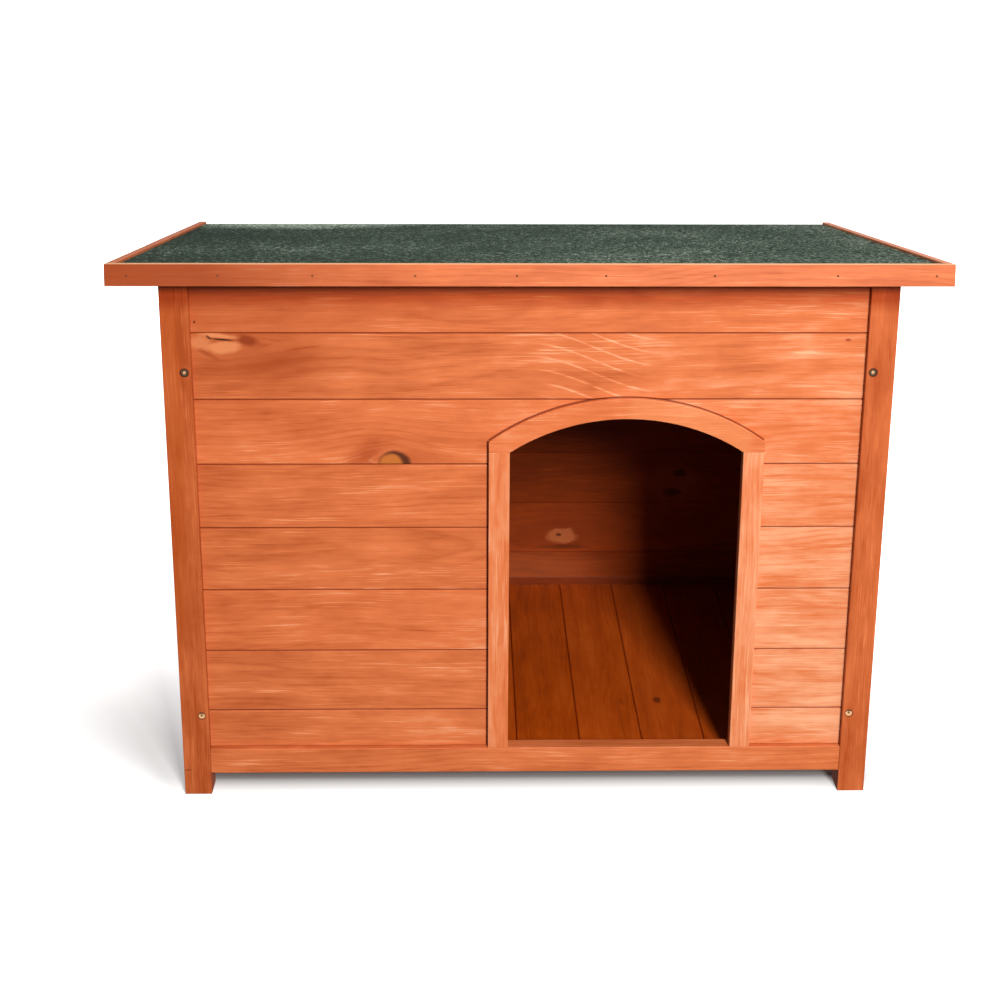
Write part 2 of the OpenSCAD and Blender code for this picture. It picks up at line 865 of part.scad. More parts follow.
module stay_stud() { color(bright_zinc) in_place() stud(); }
module roof_deck() { color(inner_wood) in_place() on_roof() deck(); }
module roof_felt() { color(green_felt) in_place() on_roof() felt_sheet(); }
module front_fascia() { color(honey_wood) in_place() on_roof() fascia_front(); }
module rear_fascia() { color(honey_wood) in_place() on_roof() fascia_rear(); }
module left_roof_trim() { color(honey_wood) in_place() on_roof() side_trim(); }
module right_roof_trim() { color(honey_wood) in_place() on_roof() mirror([1, 0, 0]) side_trim(); }
module front_roof_batten() { color(inner_wood) in_place() on_roof() cross_batten(batten_front); }
module rear_roof_batten() { color(inner_wood) in_place() on_roof() cross_batten(batten_rear); }
module fascia_brads() { color(bright_zinc) in_place() on_roof() at_brads() brad(); }
module hinge_roof_leaves() { color(bright_zinc) in_place() on_roof() roof_leaves(); }

module hinge_roof_screws() {
    color(bright_zinc) in_place() on_roof() at_roof_screws() {
        wood_screw(small_screw_r, small_head_r, roof_screw_l);
    }
}

module stay_bracket() { color(bright_zinc) in_place() on_roof() bracket(); }

module bracket_screws() {
    color(bright_zinc) in_place() on_roof() at_bracket_screws() {
        wood_screw(small_screw_r, small_head_r, roof_screw_l);
    }
}

module stay_rivet() { color(bright_zinc) in_place() on_roof() rivet(); }
module roof_stay() { color(bright_zinc) in_place() on_roof() stay_arm(); }

front_leg_left();
front_leg_right();
rear_leg_left();
rear_leg_right();
front_bottom_rail();
rear_bottom_rail();
left_bottom_rail();
right_bottom_rail();
front_top_rail();
rear_top_rail();
left_top_rail();
right_top_rail();
front_left_stile();
front_right_stile();
rear_left_stile();
rear_right_stile();
left_door_stile();
right_door_stile();
left_door_jamb();
right_door_jamb();
door_arch();
left_board(0);  // left_front_board_1
left_board(1);  // left_front_board_2
left_board(2);  // left_front_board_3
left_board(3);  // left_front_board_4
left_board(4);  // left_front_board_5
right_board(0);  // right_front_board_1
right_board(1);  // right_front_board_2
right_board(2);  // right_front_board_3
right_board(3);  // right_front_board_4
right_board(4);  // right_front_board_5
arch_front_board();
upper_front_board();
top_front_board();
left_wall_boards();
right_wall_boards();
rear_wall_boards();
floor_boards();
floor_bearers();
leg_screws();
hinge_wall_leaves();
hinge_pins();
hinge_wall_screws();
stay_stud();
roof_deck();
roof_felt();
front_fascia();
rear_fascia();
left_roof_trim();
right_roof_trim();
front_roof_batten();
rear_roof_batten();
fascia_brads();
hinge_roof_leaves();
hinge_roof_screws();
stay_bracket();
bracket_screws();
stay_rivet();
roof_stay();
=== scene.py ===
import json
import logging
import math
from dataclasses import dataclass
from enum import Enum

import bmesh
import bpy
from mathutils import Matrix, Vector

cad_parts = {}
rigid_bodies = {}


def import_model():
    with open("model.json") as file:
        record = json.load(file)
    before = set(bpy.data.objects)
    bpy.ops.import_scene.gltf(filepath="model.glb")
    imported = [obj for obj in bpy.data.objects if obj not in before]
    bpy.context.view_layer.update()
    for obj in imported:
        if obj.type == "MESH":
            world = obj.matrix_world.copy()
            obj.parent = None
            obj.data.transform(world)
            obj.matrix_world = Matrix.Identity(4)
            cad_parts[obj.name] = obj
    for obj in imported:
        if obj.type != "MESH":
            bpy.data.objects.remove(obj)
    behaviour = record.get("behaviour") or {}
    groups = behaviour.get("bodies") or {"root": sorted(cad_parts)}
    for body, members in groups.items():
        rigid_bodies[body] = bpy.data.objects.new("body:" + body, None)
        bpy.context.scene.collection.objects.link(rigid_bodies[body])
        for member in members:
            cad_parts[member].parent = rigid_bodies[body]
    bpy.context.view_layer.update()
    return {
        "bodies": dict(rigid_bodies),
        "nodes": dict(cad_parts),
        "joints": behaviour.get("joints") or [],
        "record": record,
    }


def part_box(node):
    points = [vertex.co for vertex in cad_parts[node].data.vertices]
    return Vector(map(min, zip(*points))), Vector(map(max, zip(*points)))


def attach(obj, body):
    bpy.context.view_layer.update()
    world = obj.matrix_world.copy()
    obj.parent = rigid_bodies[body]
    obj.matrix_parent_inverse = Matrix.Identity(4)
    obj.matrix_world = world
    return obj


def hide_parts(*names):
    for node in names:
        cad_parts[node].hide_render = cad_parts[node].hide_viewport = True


log = logging.getLogger("kennel")

Colour = tuple[float, float, float]
Socket = bpy.types.NodeSocket
Value = "Socket | float"
Stops = tuple[tuple[float, float], ...]

MM = 0.001
FRONT_Y = -376.094  # where the legs' front face lies, in millimetres
SCREW_X = 481.7  # how far from the middle the leg screws stand, in millimetres
SCREW_LOW, SCREW_HIGH = 131.0, 662.5  # how high the lower and the upper pair stand
WELD_GAP = 0.00001  # corners that lie closer, in metres, are one
ARRIS_ANGLE = math.radians(40)  # an edge that turns more is an arris
FLAT_ANGLE = math.radians(0.6)  # faces that turn less are one
SMOOTH_ANGLE = math.radians(38)  # an edge that turns less is shaded smooth


def srgb(red: float, green: float, blue: float) -> Colour:
    """Turns a colour seen on a screen, 0 to 255, into light.

    Args:
        red: The red part.
        green: The green part.
        blue: The blue part.

    Returns:
        The linear colour.
    """
    parts = (value / 255 for value in (red, green, blue))
    return tuple(p / 12.92 if p <= 0.04045 else ((p + 0.055) / 1.055) ** 2.4 for p in parts)


class Fade(Enum):
    """How a mark fades: a unit of the distance, and the mark's strength at shares of it."""

    BOARD_JOINT = (10.0, ((0.04, 0.75), (0.15, 0.0)))
    # LEG_JOINT fades the painted shade beside the legs.
    LEG_JOINT = (10.0, ((0.02, 0.6), (0.09, 0.0)))
    # HEADER_JOINT and JAMB_JOINT fade the painted shade round the doorway's trim.
    HEADER_JOINT = (5.0, ((0.1, 0.85), (0.34, 0.0)))
    JAMB_JOINT = (5.0, ((0.25, 0.9), (0.6, 0.0)))
    # WORN_EDGE fades the painted highlight along top edges.
    WORN_EDGE = (2.0, ((0.1, 0.7), (0.5, 0.0)))
    # EAVES fades the painted shadow under the roof.
    EAVES = (50.0, ((0.0, 0.75), (0.12, 1.0), (0.4, 0.95), (0.8, 0.0)))
    SCREW_RIM = (5 * MM, ((0.34, 0.0), (0.5, 1.0)))
    # SCREW_DRIVE and SCREW_SHADE fade painted shade on the screw heads.
    SCREW_DRIVE = (4.2 * MM, ((0.25, 0.85), (0.5, 0.0)))
    SCREW_SHADE = (10 * MM, ((0.12, 0.0), (0.34, 0.9)))


@dataclass
class Wiring:
    """Adds and links the nodes of one shader tree."""

    tree: bpy.types.NodeTree

    def node(self, kind: str, **settings: object) -> bpy.types.Node:
        """Adds a node.

        Args:
            kind: The node's type name.
            settings: The node's own settings by name.

        Returns:
            The new node.
        """
        made = self.tree.nodes.new(kind)
        for name, value in settings.items():
            setattr(made, name, value)
        return made

    def feed(self, socket: Socket, value: Value) -> None:
        """Gives an input a value, or a link from another node's output.

        Args:
            socket: The input.
            value: The value or the output.
        """
        if isinstance(value, bpy.types.NodeSocket):
            self.tree.links.new(value, socket)
        else:
            socket.default_value = value

    def sum(self, operation: str, a: Value, b: Value = 0.0, c: Value = 0.0, clamp: bool = False) -> Socket:
        """Adds a Math node.

        Args:
            operation: The Math node's operation.
            a: The first value.
            b: The second value.
            c: The third value.
            clamp: Whether the result is kept from 0 to 1.

        Returns:
            The result.
        """
        made = self.node("ShaderNodeMath", operation=operation, use_clamp=clamp)
        for socket, value in zip(made.inputs, (a, b, c)):
            self.feed(socket, value)
        return made.outputs[0]

    def length(self, a: Socket, b: Socket) -> Socket:
        """Measures the length of a line by its two legs."""
        return self.sum("SQRT", self.sum("ADD", self.sum("MULTIPLY", a, a), self.sum("MULTIPLY", b, b)))

    def vector(self, x: Value, y: Value, z: Value) -> Socket:
        """Joins three values to a vector.

        Args:
            x: The first value.
            y: The second value.
            z: The third value.

        Returns:
            The vector.
        """
        made = self.node("ShaderNodeCombineXYZ")
        for socket, value in zip(made.inputs, (x, y, z)):
            self.feed(socket, value)
        return made.outputs[0]

    def parts(self, vector: Socket) -> tuple[Socket, Socket, Socket]:
        """Splits a vector into its three values.

        Args:
            vector: The vector.

        Returns:
            The three values.
        """
        made = self.node("ShaderNodeSeparateXYZ")
        self.feed(made.inputs[0], vector)
        return tuple(made.outputs)

    def noise(self, place: Socket, detail: float = 2.0, rough: float = 0.5, scale: float = 1.0) -> bpy.types.Node:
        """Adds a Noise texture.

        Args:
            place: Where it is read.
            detail: How many octaves it has.
            rough: How strong the finer octaves are.
            scale: How many features lie in one unit of place.

        Returns:
            The node, with its Fac and Color outputs.
        """
        made = self.node("ShaderNodeTexNoise")
        self.feed(made.inputs["Vector"], place)
        made.inputs["Scale"].default_value = scale
        made.inputs["Detail"].default_value = detail
        made.inputs["Roughness"].default_value = rough
        return made

    def chance(self, x: Value, y: Value, z: Value) -> tuple[Socket, Socket, Socket]:
        """Draws three random values that stay the same for the same place.

        Args:
            x: The place's first value.
            y: Its second value.
            z: Its third value.

        Returns:
            The three values, each from 0 to 1.
        """
        made = self.node("ShaderNodeTexWhiteNoise", noise_dimensions="3D")
        self.feed(made.inputs["Vector"], self.vector(x, y, z))
        return self.parts(made.outputs["Color"])

    def ramp(self, value: Value, stops: tuple[tuple[float, Colour], ...]) -> Socket:
        """Turns a value into a colour by stops.

        Args:
            value: The value.
            stops: Each stop's place and colour.

        Returns:
            The colour.
        """
        made = self.node("ShaderNodeValToRGB")
        self.feed(made.inputs[0], value)
        elements = made.color_ramp.elements
        while len(elements) < len(stops):
            elements.new(0.5)
        for element, (place, colour) in zip(elements, stops):
            element.position = place
            element.color = (*colour, 1)
        return made.outputs[0]

    def curve(self, value: Value, stops: Stops, smooth: bool = False) -> Socket:
        """Turns a value into another by stops, joined by straight lines or by a smooth one.

        Args:
            value: The value.
            stops: Each stop's place and level.
            smooth: Whether the line between them is smooth.

        Returns:
            The level.
        """
        made = self.ramp(value, tuple((place, (level,) * 3) for place, level in stops))
        if smooth:
            made.node.color_ramp.interpolation = "B_SPLINE"
        return made

    def over(self, distance: Socket, fade: Fade) -> Socket:
        """Reads how strong a mark is at a distance."""
        unit, stops = fade.value
        return self.curve(self.sum("MULTIPLY", distance, 1 / unit), stops)

    def mix(self, share: Value, a: "Socket | Colour", b: "Socket | Colour", blend: str = "MIX") -> Socket:
        """Mixes two colours.

        Args:
            share: How much of the second colour shows.
            a: The first colour.
            b: The second colour.
            blend: The blend type.

        Returns:
            The mixed colour.
        """
        made = self.node("ShaderNodeMix", data_type="RGBA", blend_type=blend)
        self.feed(made.inputs[0], share)
        for socket, colour in zip((made.inputs[6], made.inputs[7]), (a, b)):
            self.feed(socket, colour if isinstance(colour, bpy.types.NodeSocket) else (*colour, 1))
        return made.outputs[2]

    def bump(self, height: Socket, strength: float, distance: float) -> Socket:
        """Adds a Bump node.

        Args:
            height: The height pattern, 0 to 1.
            strength: How much of it is felt.
            distance: The height in metres.

        Returns:
            The bent normal.
        """
        made = self.node("ShaderNodeBump")
        made.inputs["Strength"].default_value = strength
        made.inputs["Distance"].default_value = distance
        self.feed(made.inputs["Height"], height)
        return made.outputs[0]


def new_material(name: str) -> tuple[bpy.types.Material, Wiring, bpy.types.Node]:
    """Makes an empty node material.

    Args:
        name: Its name.

    Returns:
        The material, its wiring and its Principled shader.
    """
    material = bpy.data.materials.new(name)
    material.use_nodes = True
    wiring = Wiring(material.node_tree)
    return material, wiring, material.node_tree.nodes["Principled BSDF"]


class Run(Enum):
    """Which way a piece's grain runs: the axes along the grain, across the face and into the piece."""

    WIDTH = (0, 2, 1)
    DEPTH_UPRIGHT = (1, 2, 0)
    DEPTH_FLAT = (1, 0, 2)
    HEIGHT = (2, 0, 1)


@dataclass(frozen=True)
class Knot:
    """A place the grain flows round, its centre and half sizes in millimetres."""

    along: float
    across: float
    long: float
    wide: float


@dataclass(frozen=True)
class Blot:
    """An oval patch of another colour on a board, its centre and half sizes in millimetres.

    Attributes:
        along: Its centre along the grain.
        across: Its centre across the face.
        long: Half its length.
        wide: Half its width.
        colour: Its colour.
        strength: How much of that colour shows.
        soft: How far its edge fades, in shares of its size.
        ragged: How far its edge wanders, in shares of its size.
        turn: How far it is turned, in degrees.
    """

    along: float
    across: float
    long: float
    wide: float
    colour: Colour
    strength: float = 0.8
    soft: float = 0.3
    ragged: float = 0.25
    turn: float = 0.0

    def over(self, w: Wiring, colour: Socket, along: Socket, across: Socket) -> Socket:
        """Lays the patch over a colour.

        Args:
            w: The material's wiring.
            colour: The colour so far.
            along: The place along the grain.
            across: The place across the face.

        Returns:
            The colour with the patch.
        """
        step_a, step_b = w.sum("SUBTRACT", along, self.along), w.sum("SUBTRACT", across, self.across)
        cosine, sine = math.cos(math.radians(self.turn)), math.sin(math.radians(self.turn))
        u = w.sum("ADD", w.sum("MULTIPLY", step_a, cosine / self.long), w.sum("MULTIPLY", step_b, sine / self.long))
        v = w.sum("SUBTRACT", w.sum("MULTIPLY", step_b, cosine / self.wide),
                  w.sum("MULTIPLY", step_a, sine / self.wide))
        spot = w.vector(w.sum("MULTIPLY", u, 1.4), w.sum("MULTIPLY", v, 1.4), self.along)
        torn = w.sum("SUBTRACT", w.noise(spot, 3.0, 0.6).outputs["Fac"], 0.5)
        span = w.sum("MULTIPLY_ADD", torn, 2.0 * self.ragged, w.length(u, v))
        cover = w.sum("DIVIDE", w.sum("SUBTRACT", 1.0 + 0.5 * self.soft, span), self.soft, clamp=True)
        return w.mix(w.sum("MULTIPLY", cover, self.strength), colour, self.colour)


@dataclass(frozen=True)
class Stain:
    """The three tones of a stained board, from its palest streaks to its darkest."""

    pale: Colour
    body: Colour
    deep: Colour

    def over(self, w: Wiring, level: Socket) -> Socket:
        """Colours the grain by how dark it is."""
        return w.ramp(level, ((0.0, self.pale), (0.42, self.body), (1.0, self.deep)))


HONEY = Stain(srgb(222, 157, 118), srgb(199, 108, 62), srgb(150, 64, 24))
# RUSSET and AMBER are darker stains that paint the shade inside the cabin; RUSSET's pale tone also marks the left
# front leg.
RUSSET = Stain(srgb(160, 70, 22), srgb(132, 50, 7), srgb(84, 25, 3))
AMBER = Stain(srgb(180, 80, 20), srgb(156, 61, 5), srgb(101, 33, 2))
REDDISH = srgb(142, 50, 12)
CHAR = srgb(60, 26, 10)
SOOT = srgb(22, 12, 8)
SEAM = srgb(116, 34, 0)
# The colour of the painted shade round the doorway's trim.
UMBER = srgb(88, 16, 0)
EMBER = srgb(205, 92, 46)
# The colour of the painted shade at the fascia's left end.
BURNT = srgb(132, 50, 10)
PEACH = srgb(212, 134, 86)
TAN = srgb(180, 100, 42)
CLAY = srgb(172, 92, 52)
# The colours of the painted highlight on the top faces of the fascia and the trims.
CREAM = srgb(240, 190, 146)
ROSY = srgb(216, 134, 102)
SHELL = srgb(238, 160, 130)
# The tint that paints the shadow under the roof's front edge.
SHELTERED = (0.66, 0.4, 0.22)


class Layer(Enum):
    """The layers of streaks in the grain: a streak's length and width in millimetres, its octaves and its shift."""

    PATCHES = (260.0, 44.0, 1.0, 71.0)
    BANDS = (420.0, 24.0, 2.0, 0.0)
    CLOUDS = (105.0, 40.0, 3.0, 31.0)
    MOTTLE = (26.0, 9.0, 2.0, 83.0)
    STREAKS = (210.0, 4.6, 3.0, 11.0)
    FIBRES = (64.0, 1.5, 2.0, 23.0)
    CRISP = (72.0, 1.7, 1.0, 57.0)
    RUFFLE = (130.0, 26.0, 2.0, 40.0)


@dataclass(frozen=True)
class Flow:
    """How the grain flows round a knot: how soon it straightens out, how steep it is, and how far it is pushed."""

    straighten: float = 0.3
    steep: float = 0.7
    core: float = 0.6
    push: float = 0.95


@dataclass(frozen=True)
class Cut:
    """How a board lies in its log: how far it is shifted, leans and sways, in millimetres and shares."""

    shift: float = 4000.0
    lean: float = 0.02
    sway: float = 11.0
    sway_rate: tuple[float, float] = (0.0045, 0.006)
    draws: tuple[float, float] = (0.5, 7.5)


@dataclass(frozen=True)
class Trunk:
    """How the growth rings lie behind a board's face, in millimetres."""

    aside: float = 260.0
    aside_wander: float = 60.0
    least_deep: float = 34.0
    deep: float = 90.0
    deep_wander: float = 50.0
    wander_rate: float = 0.0026
    ruffle: float = 1.1
    late_wood: Stops = ((0.0, 0.2), (0.16, 0.0), (0.55, 0.2), (0.84, 1.0), (1.0, 0.2))


@dataclass(frozen=True)
class Shares:
    """How much each layer darkens the wood. A share below nothing makes it paler."""

    base: float = 0.38
    comb: float = 0.36
    bands: float = 0.5
    fibres: float = 0.22
    clouds: float = 0.66
    mottle: float = 0.24
    tone: float = 0.14
    pale_lines: float = -0.28
    dark_lines: float = 0.2
    swept_lines: float = -0.34
    warmth: float = 0.12
    busy: tuple[float, float] = (4.0, -1.45)
    calm: float = 1.2
    least_comb: float = 0.12
    pale_cut: Stops = ((0.58, 0.0), (0.68, 1.0))
    dark_cut: Stops = ((0.28, 1.0), (0.38, 0.0))
    ring_relief: float = 0.4


@dataclass(frozen=True)
class Sweep:
    """Pale rings that swing down across a board: their start, length, drop and gap in millimetres."""

    start: float
    long: float
    drop: float
    gap: float
    line: Stops = ((0.38, 0.0), (0.47, 1.0))
    breaks: Stops = ((0.36, 0.2), (0.56, 1.0))
    fade: Stops = ((0.0, 0.0), (0.15, 1.0), (0.8, 1.0), (1.0, 0.0))


@dataclass(frozen=True)
class Header:
    """The doorway's round header in millimetres.

    Attributes:
        along: Its centre along the boards.
        across: Its centre across the boards.
        radius: Its outer radius.
        half: Half its width.
        outside: How far out of the header the painted shade's darkest line lies.
        beside: How far beside the left jamb the darkest line of its painted shadow lies.
    """

    along: float
    across: float
    radius: float
    half: float
    outside: float = 0.6
    beside: float = 0.8


@dataclass(frozen=True)
class Spot:
    """The place that a finish is worked out for: to the right, back and up, and as the grain runs."""

    axes: tuple[Socket, Socket, Socket]
    along: Socket
    across: Socket
    depth: Socket


@dataclass(frozen=True)
class Board:
    """The board that a place lies on: its middle, the place in its own grain, and its random values."""

    centre: Value
    place: tuple[Socket, Socket, Socket]
    side: Socket
    deep: Socket
    tone: Socket
    warmth: Socket


FLOW = Flow()
CUT = Cut()
TRUNK = Trunk()
SHARES = Shares()


@dataclass(frozen=True)
class StainedFir:
    """Fir with a honey-coloured stain under a satin varnish, cut lengthwise.

    Attributes:
        run: The way the grain runs.
        seed: Which tree it was cut from.
        middle: The piece's middle across the face and into the piece, in millimetres.
        pitch: How far the boards lie apart, or 0 for a single length.
        first: Where a board starts, in millimetres.
        knots: The places the grain flows round.
        blots: The patches of another colour.
        stain: The stain's three tones.
        inside: Where the inner side starts and which way it lies, or zeros; a darker stain paints the shade there.
        tone: How much darker the whole piece is.
        slope: How much darker it grows in a millimetre along the grain, painted light and shade across the piece.
        corner: Where the legs' inner faces stand on the boards, with painted shade beside them, or 0.
        gloss: How strongly the varnish shines.
        figure: How strong the fine grain is.
        ring: How far the growth rings lie apart, in millimetres.
        ring_share: How dark the late wood is.
        worn_top: Where the painted highlight along the upper edge lies, square to the roof's fall, or 0.
        worn_fall: The roof's fall in degrees.
        worn_colour: The colour of the painted highlight.
        eaves: Where the roof's underside lies and its painted shadow starts, or 0 for a piece that it doesn't
            shade.
        sweep: The pale rings that swing across it, if any.
        header: The doorway's trim that stands on it, if any.
    """

    run: Run
    seed: float
    middle: tuple[float, float] = (0.0, 0.0)
    pitch: float = 0.0
    first: float = 0.0
    knots: tuple[Knot, ...] = ()
    blots: tuple[Blot, ...] = ()
    stain: Stain = HONEY
    inside: tuple[float, float] = (0.0, 0.0)
    tone: float = 0.0
    slope: float = 0.0
    corner: float = 0.0
    gloss: float = 0.22
    figure: float = 1.0
    ring: float = 7.0
    ring_share: float = 0.13
    worn_top: float = 0.0
    worn_fall: float = 0.0
    worn_colour: Colour = CREAM
    eaves: float = 0.0
    sweep: Sweep | None = None
    header: Header | None = None

    def spot(self, w: Wiring) -> Spot:
        """Reads the place in millimetres.

        Args:
            w: The material's wiring.

        Returns:
            The place.
        """
        coordinates = w.node("ShaderNodeTexCoord")
        scaled = w.node("ShaderNodeVectorMath", operation="SCALE")
        w.feed(scaled.inputs[0], coordinates.outputs["Object"])
        scaled.inputs["Scale"].default_value = 1 / MM
        axes = w.parts(scaled.outputs[0])
        along, across, depth = (axes[index] for index in self.run.value)
        return Spot(axes, along, across, depth)

    def bend(self, w: Wiring, spot: Spot) -> Socket:
        """Bends the grain round the knots.

        Args:
            w: The material's wiring.
            spot: The place.

        Returns:
            The bent place across the face.
        """
        bent = spot.across
        for knot in self.knots:
            u = w.sum("DIVIDE", w.sum("SUBTRACT", spot.along, knot.along), knot.long)
            v = w.sum("DIVIDE", w.sum("SUBTRACT", spot.across, knot.across), knot.wide)
            near = w.sum("DIVIDE", 1.0, w.sum("MULTIPLY_ADD", w.sum("MULTIPLY", u, u), FLOW.straighten, 1.0))
            lean = w.sum("DIVIDE", v, w.sum("MULTIPLY_ADD", w.sum("MULTIPLY", v, v), FLOW.steep, FLOW.core))
            bent = w.sum("MULTIPLY_ADD", w.sum("MULTIPLY", near, lean), -FLOW.push * knot.wide, bent)
        return bent

    def board(self, w: Wiring, spot: Spot) -> Board:
        """Finds the board that a place lies on, and draws its random values.

        Args:
            w: The material's wiring.
            spot: The place.

        Returns:
            The board.
        """
        if self.pitch:
            cell = w.sum("FLOOR", w.sum("DIVIDE", w.sum("SUBTRACT", spot.across, self.first), self.pitch))
            centre = w.sum("MULTIPLY_ADD", w.sum("ADD", cell, 0.5), self.pitch, self.first)
        else:
            cell, centre = 0.0, self.middle[0]
        shift, side, deep = w.chance(cell, self.seed, CUT.draws[0])
        tone, warmth, lean = w.chance(cell, self.seed, CUT.draws[1])
        start = w.sum("MULTIPLY_ADD", shift, CUT.shift, spot.along)
        local = w.sum("SUBTRACT", self.bend(w, spot), centre)
        leaned = w.sum("MULTIPLY", spot.along, CUT.lean)
        local = w.sum("MULTIPLY_ADD", w.sum("SUBTRACT", lean, 0.5), leaned, local)
        rate_a, rate_c = CUT.sway_rate
        swaying = w.vector(w.sum("MULTIPLY", start, rate_a), w.sum("MULTIPLY", spot.across, rate_c), self.seed)
        sway = w.sum("SUBTRACT", w.noise(swaying).outputs["Fac"], 0.5)
        local = w.sum("MULTIPLY_ADD", sway, CUT.sway, local)
        place = (start, local, w.sum("SUBTRACT", spot.depth, self.middle[1]))
        return Board(centre, place, side, deep, tone, warmth)

    def streak(self, w: Wiring, board: Board, layer: Layer) -> Socket:
        """Draws noise that is stretched along the grain.

        Args:
            w: The material's wiring.
            board: The board.
            layer: Which of the grain's layers it is.

        Returns:
            The noise, about 0.5 on average.
        """
        long, wide, detail, shift = layer.value
        start, local, inward = board.place
        spot = w.vector(w.sum("MULTIPLY_ADD", start, 1 / long, shift), w.sum("MULTIPLY", local, 1 / wide),
                        w.sum("MULTIPLY_ADD", inward, 1 / wide, self.seed))
        return w.noise(spot, detail, 0.55).outputs["Fac"]

    def rings(self, w: Wiring, board: Board) -> Socket:
        """Cuts the growth rings with the board's face.

        Args:
            w: The material's wiring.
            board: The board.

        Returns:
            The share of dark late wood.
        """
        start, local, inward = board.place
        slow = w.noise(w.vector(w.sum("MULTIPLY", start, TRUNK.wander_rate), self.seed, 0.0), 1.0, 0.4)
        wander_a, wander_d, _ = w.parts(slow.outputs["Color"])
        pith_a = w.sum("MULTIPLY_ADD", w.sum("SUBTRACT", board.side, 0.5), TRUNK.aside,
                       w.sum("MULTIPLY", w.sum("SUBTRACT", wander_a, 0.5), TRUNK.aside_wander))
        pith_d = w.sum("MULTIPLY_ADD", board.deep, TRUNK.deep,
                       w.sum("MULTIPLY", w.sum("SUBTRACT", wander_d, 0.5), TRUNK.deep_wander))
        gap_a = w.sum("SUBTRACT", local, pith_a)
        gap_d = w.sum("ADD", w.sum("ADD", inward, pith_d), TRUNK.least_deep)
        radius = w.length(gap_a, gap_d)
        ruffle = self.streak(w, board, Layer.RUFFLE)
        count = w.sum("MULTIPLY_ADD", ruffle, TRUNK.ruffle, w.sum("DIVIDE", radius, self.ring))
        return w.curve(w.sum("FRACT", count), TRUNK.late_wood)

    @staticmethod
    def swept_lines(w: Wiring, spot: Spot, sweep: Sweep, streaks: Socket) -> Socket:
        """Draws pale growth rings that swing down across a board, side by side.

        Args:
            w: The material's wiring.
            spot: The place.
            sweep: How the rings run.
            streaks: The streaks that break the rings.

        Returns:
            How strongly a ring shows.
        """
        way = w.sum("DIVIDE", w.sum("SUBTRACT", spot.along, sweep.start), sweep.long, clamp=True)
        eased = w.sum("MULTIPLY", w.sum("MULTIPLY", way, way), w.sum("MULTIPLY_ADD", way, -2.0, 3.0))
        count = w.sum("DIVIDE", w.sum("MULTIPLY_ADD", eased, sweep.drop, spot.across), sweep.gap)
        edge = w.sum("ABSOLUTE", w.sum("SUBTRACT", w.sum("FRACT", count), 0.5))
        line = w.sum("MULTIPLY", w.curve(edge, sweep.line), w.curve(streaks, sweep.breaks))
        return w.sum("MULTIPLY", line, w.curve(way, sweep.fade))

    def grain(self, w: Wiring, spot: Spot, board: Board) -> tuple[Socket, Socket, Socket]:
        """Lays the layers of the grain over each other.

        Args:
            w: The material's wiring.
            spot: The place.
            board: The board that it lies on.

        Returns:
            How dark the wood is, its streaks, and the height of its relief.
        """
        ring = self.rings(w, board)
        busy = w.sum("MULTIPLY_ADD", self.streak(w, board, Layer.PATCHES), *SHARES.busy, clamp=True)
        calm = w.sum("SUBTRACT", SHARES.calm, busy)
        bands = self.streak(w, board, Layer.BANDS)
        clouds = self.streak(w, board, Layer.CLOUDS)
        mottle = self.streak(w, board, Layer.MOTTLE)
        streaks = self.streak(w, board, Layer.STREAKS)
        fibres = self.streak(w, board, Layer.FIBRES)
        crisp = self.streak(w, board, Layer.CRISP)
        pale_lines = w.sum("MULTIPLY", w.curve(crisp, SHARES.pale_cut), busy)
        dark_lines = w.sum("MULTIPLY", w.curve(crisp, SHARES.dark_cut), calm)

        late = w.sum("MULTIPLY", ring, self.ring_share)
        level = w.sum("MULTIPLY_ADD", late, calm, SHARES.base + self.tone)
        comb = w.sum("MULTIPLY", w.sum("SUBTRACT", streaks, 0.5), SHARES.comb * self.figure)
        level = w.sum("MULTIPLY_ADD", comb, w.sum("ADD", busy, SHARES.least_comb), level)
        for layer, share in ((bands, SHARES.bands), (fibres, SHARES.fibres * self.figure),
                             (clouds, SHARES.clouds), (mottle, SHARES.mottle), (board.tone, SHARES.tone)):
            level = w.sum("MULTIPLY_ADD", w.sum("SUBTRACT", layer, 0.5), share, level)
        level = w.sum("MULTIPLY_ADD", pale_lines, SHARES.pale_lines * self.figure, level)
        level = w.sum("MULTIPLY_ADD", dark_lines, SHARES.dark_lines * self.figure, level)
        if self.sweep:
            swept = self.swept_lines(w, spot, self.sweep, streaks)
            level = w.sum("MULTIPLY_ADD", swept, SHARES.swept_lines, level)
        # painted light and shade: darker or paler along the grain
        if self.slope:
            level = w.sum("MULTIPLY_ADD", spot.along, self.slope, level)
        relief = w.sum("ADD", w.sum("MULTIPLY", ring, SHARES.ring_relief), w.sum("ADD", fibres, streaks))
        return level, streaks, relief

    def tint(self, w: Wiring, spot: Spot, board: Board, level: Socket) -> Socket:
        """Turns the grain's darkness into the stain's colours.

        Args:
            w: The material's wiring.
            spot: The place.
            board: The board that it lies on.
            level: How dark the wood is.

        Returns:
            The colour.
        """
        colour = self.stain.over(w, level)
        if any(self.inside):
            plane, way = self.inside
            within = w.sum("GREATER_THAN", w.sum("MULTIPLY", w.sum("SUBTRACT", spot.depth, plane), way), 0.0)
            # painted shade: the inner side takes the darker RUSSET stain
            colour = w.mix(within, colour, RUSSET.over(w, level))
        return w.mix(w.sum("MULTIPLY", board.warmth, SHARES.warmth), colour, EMBER)

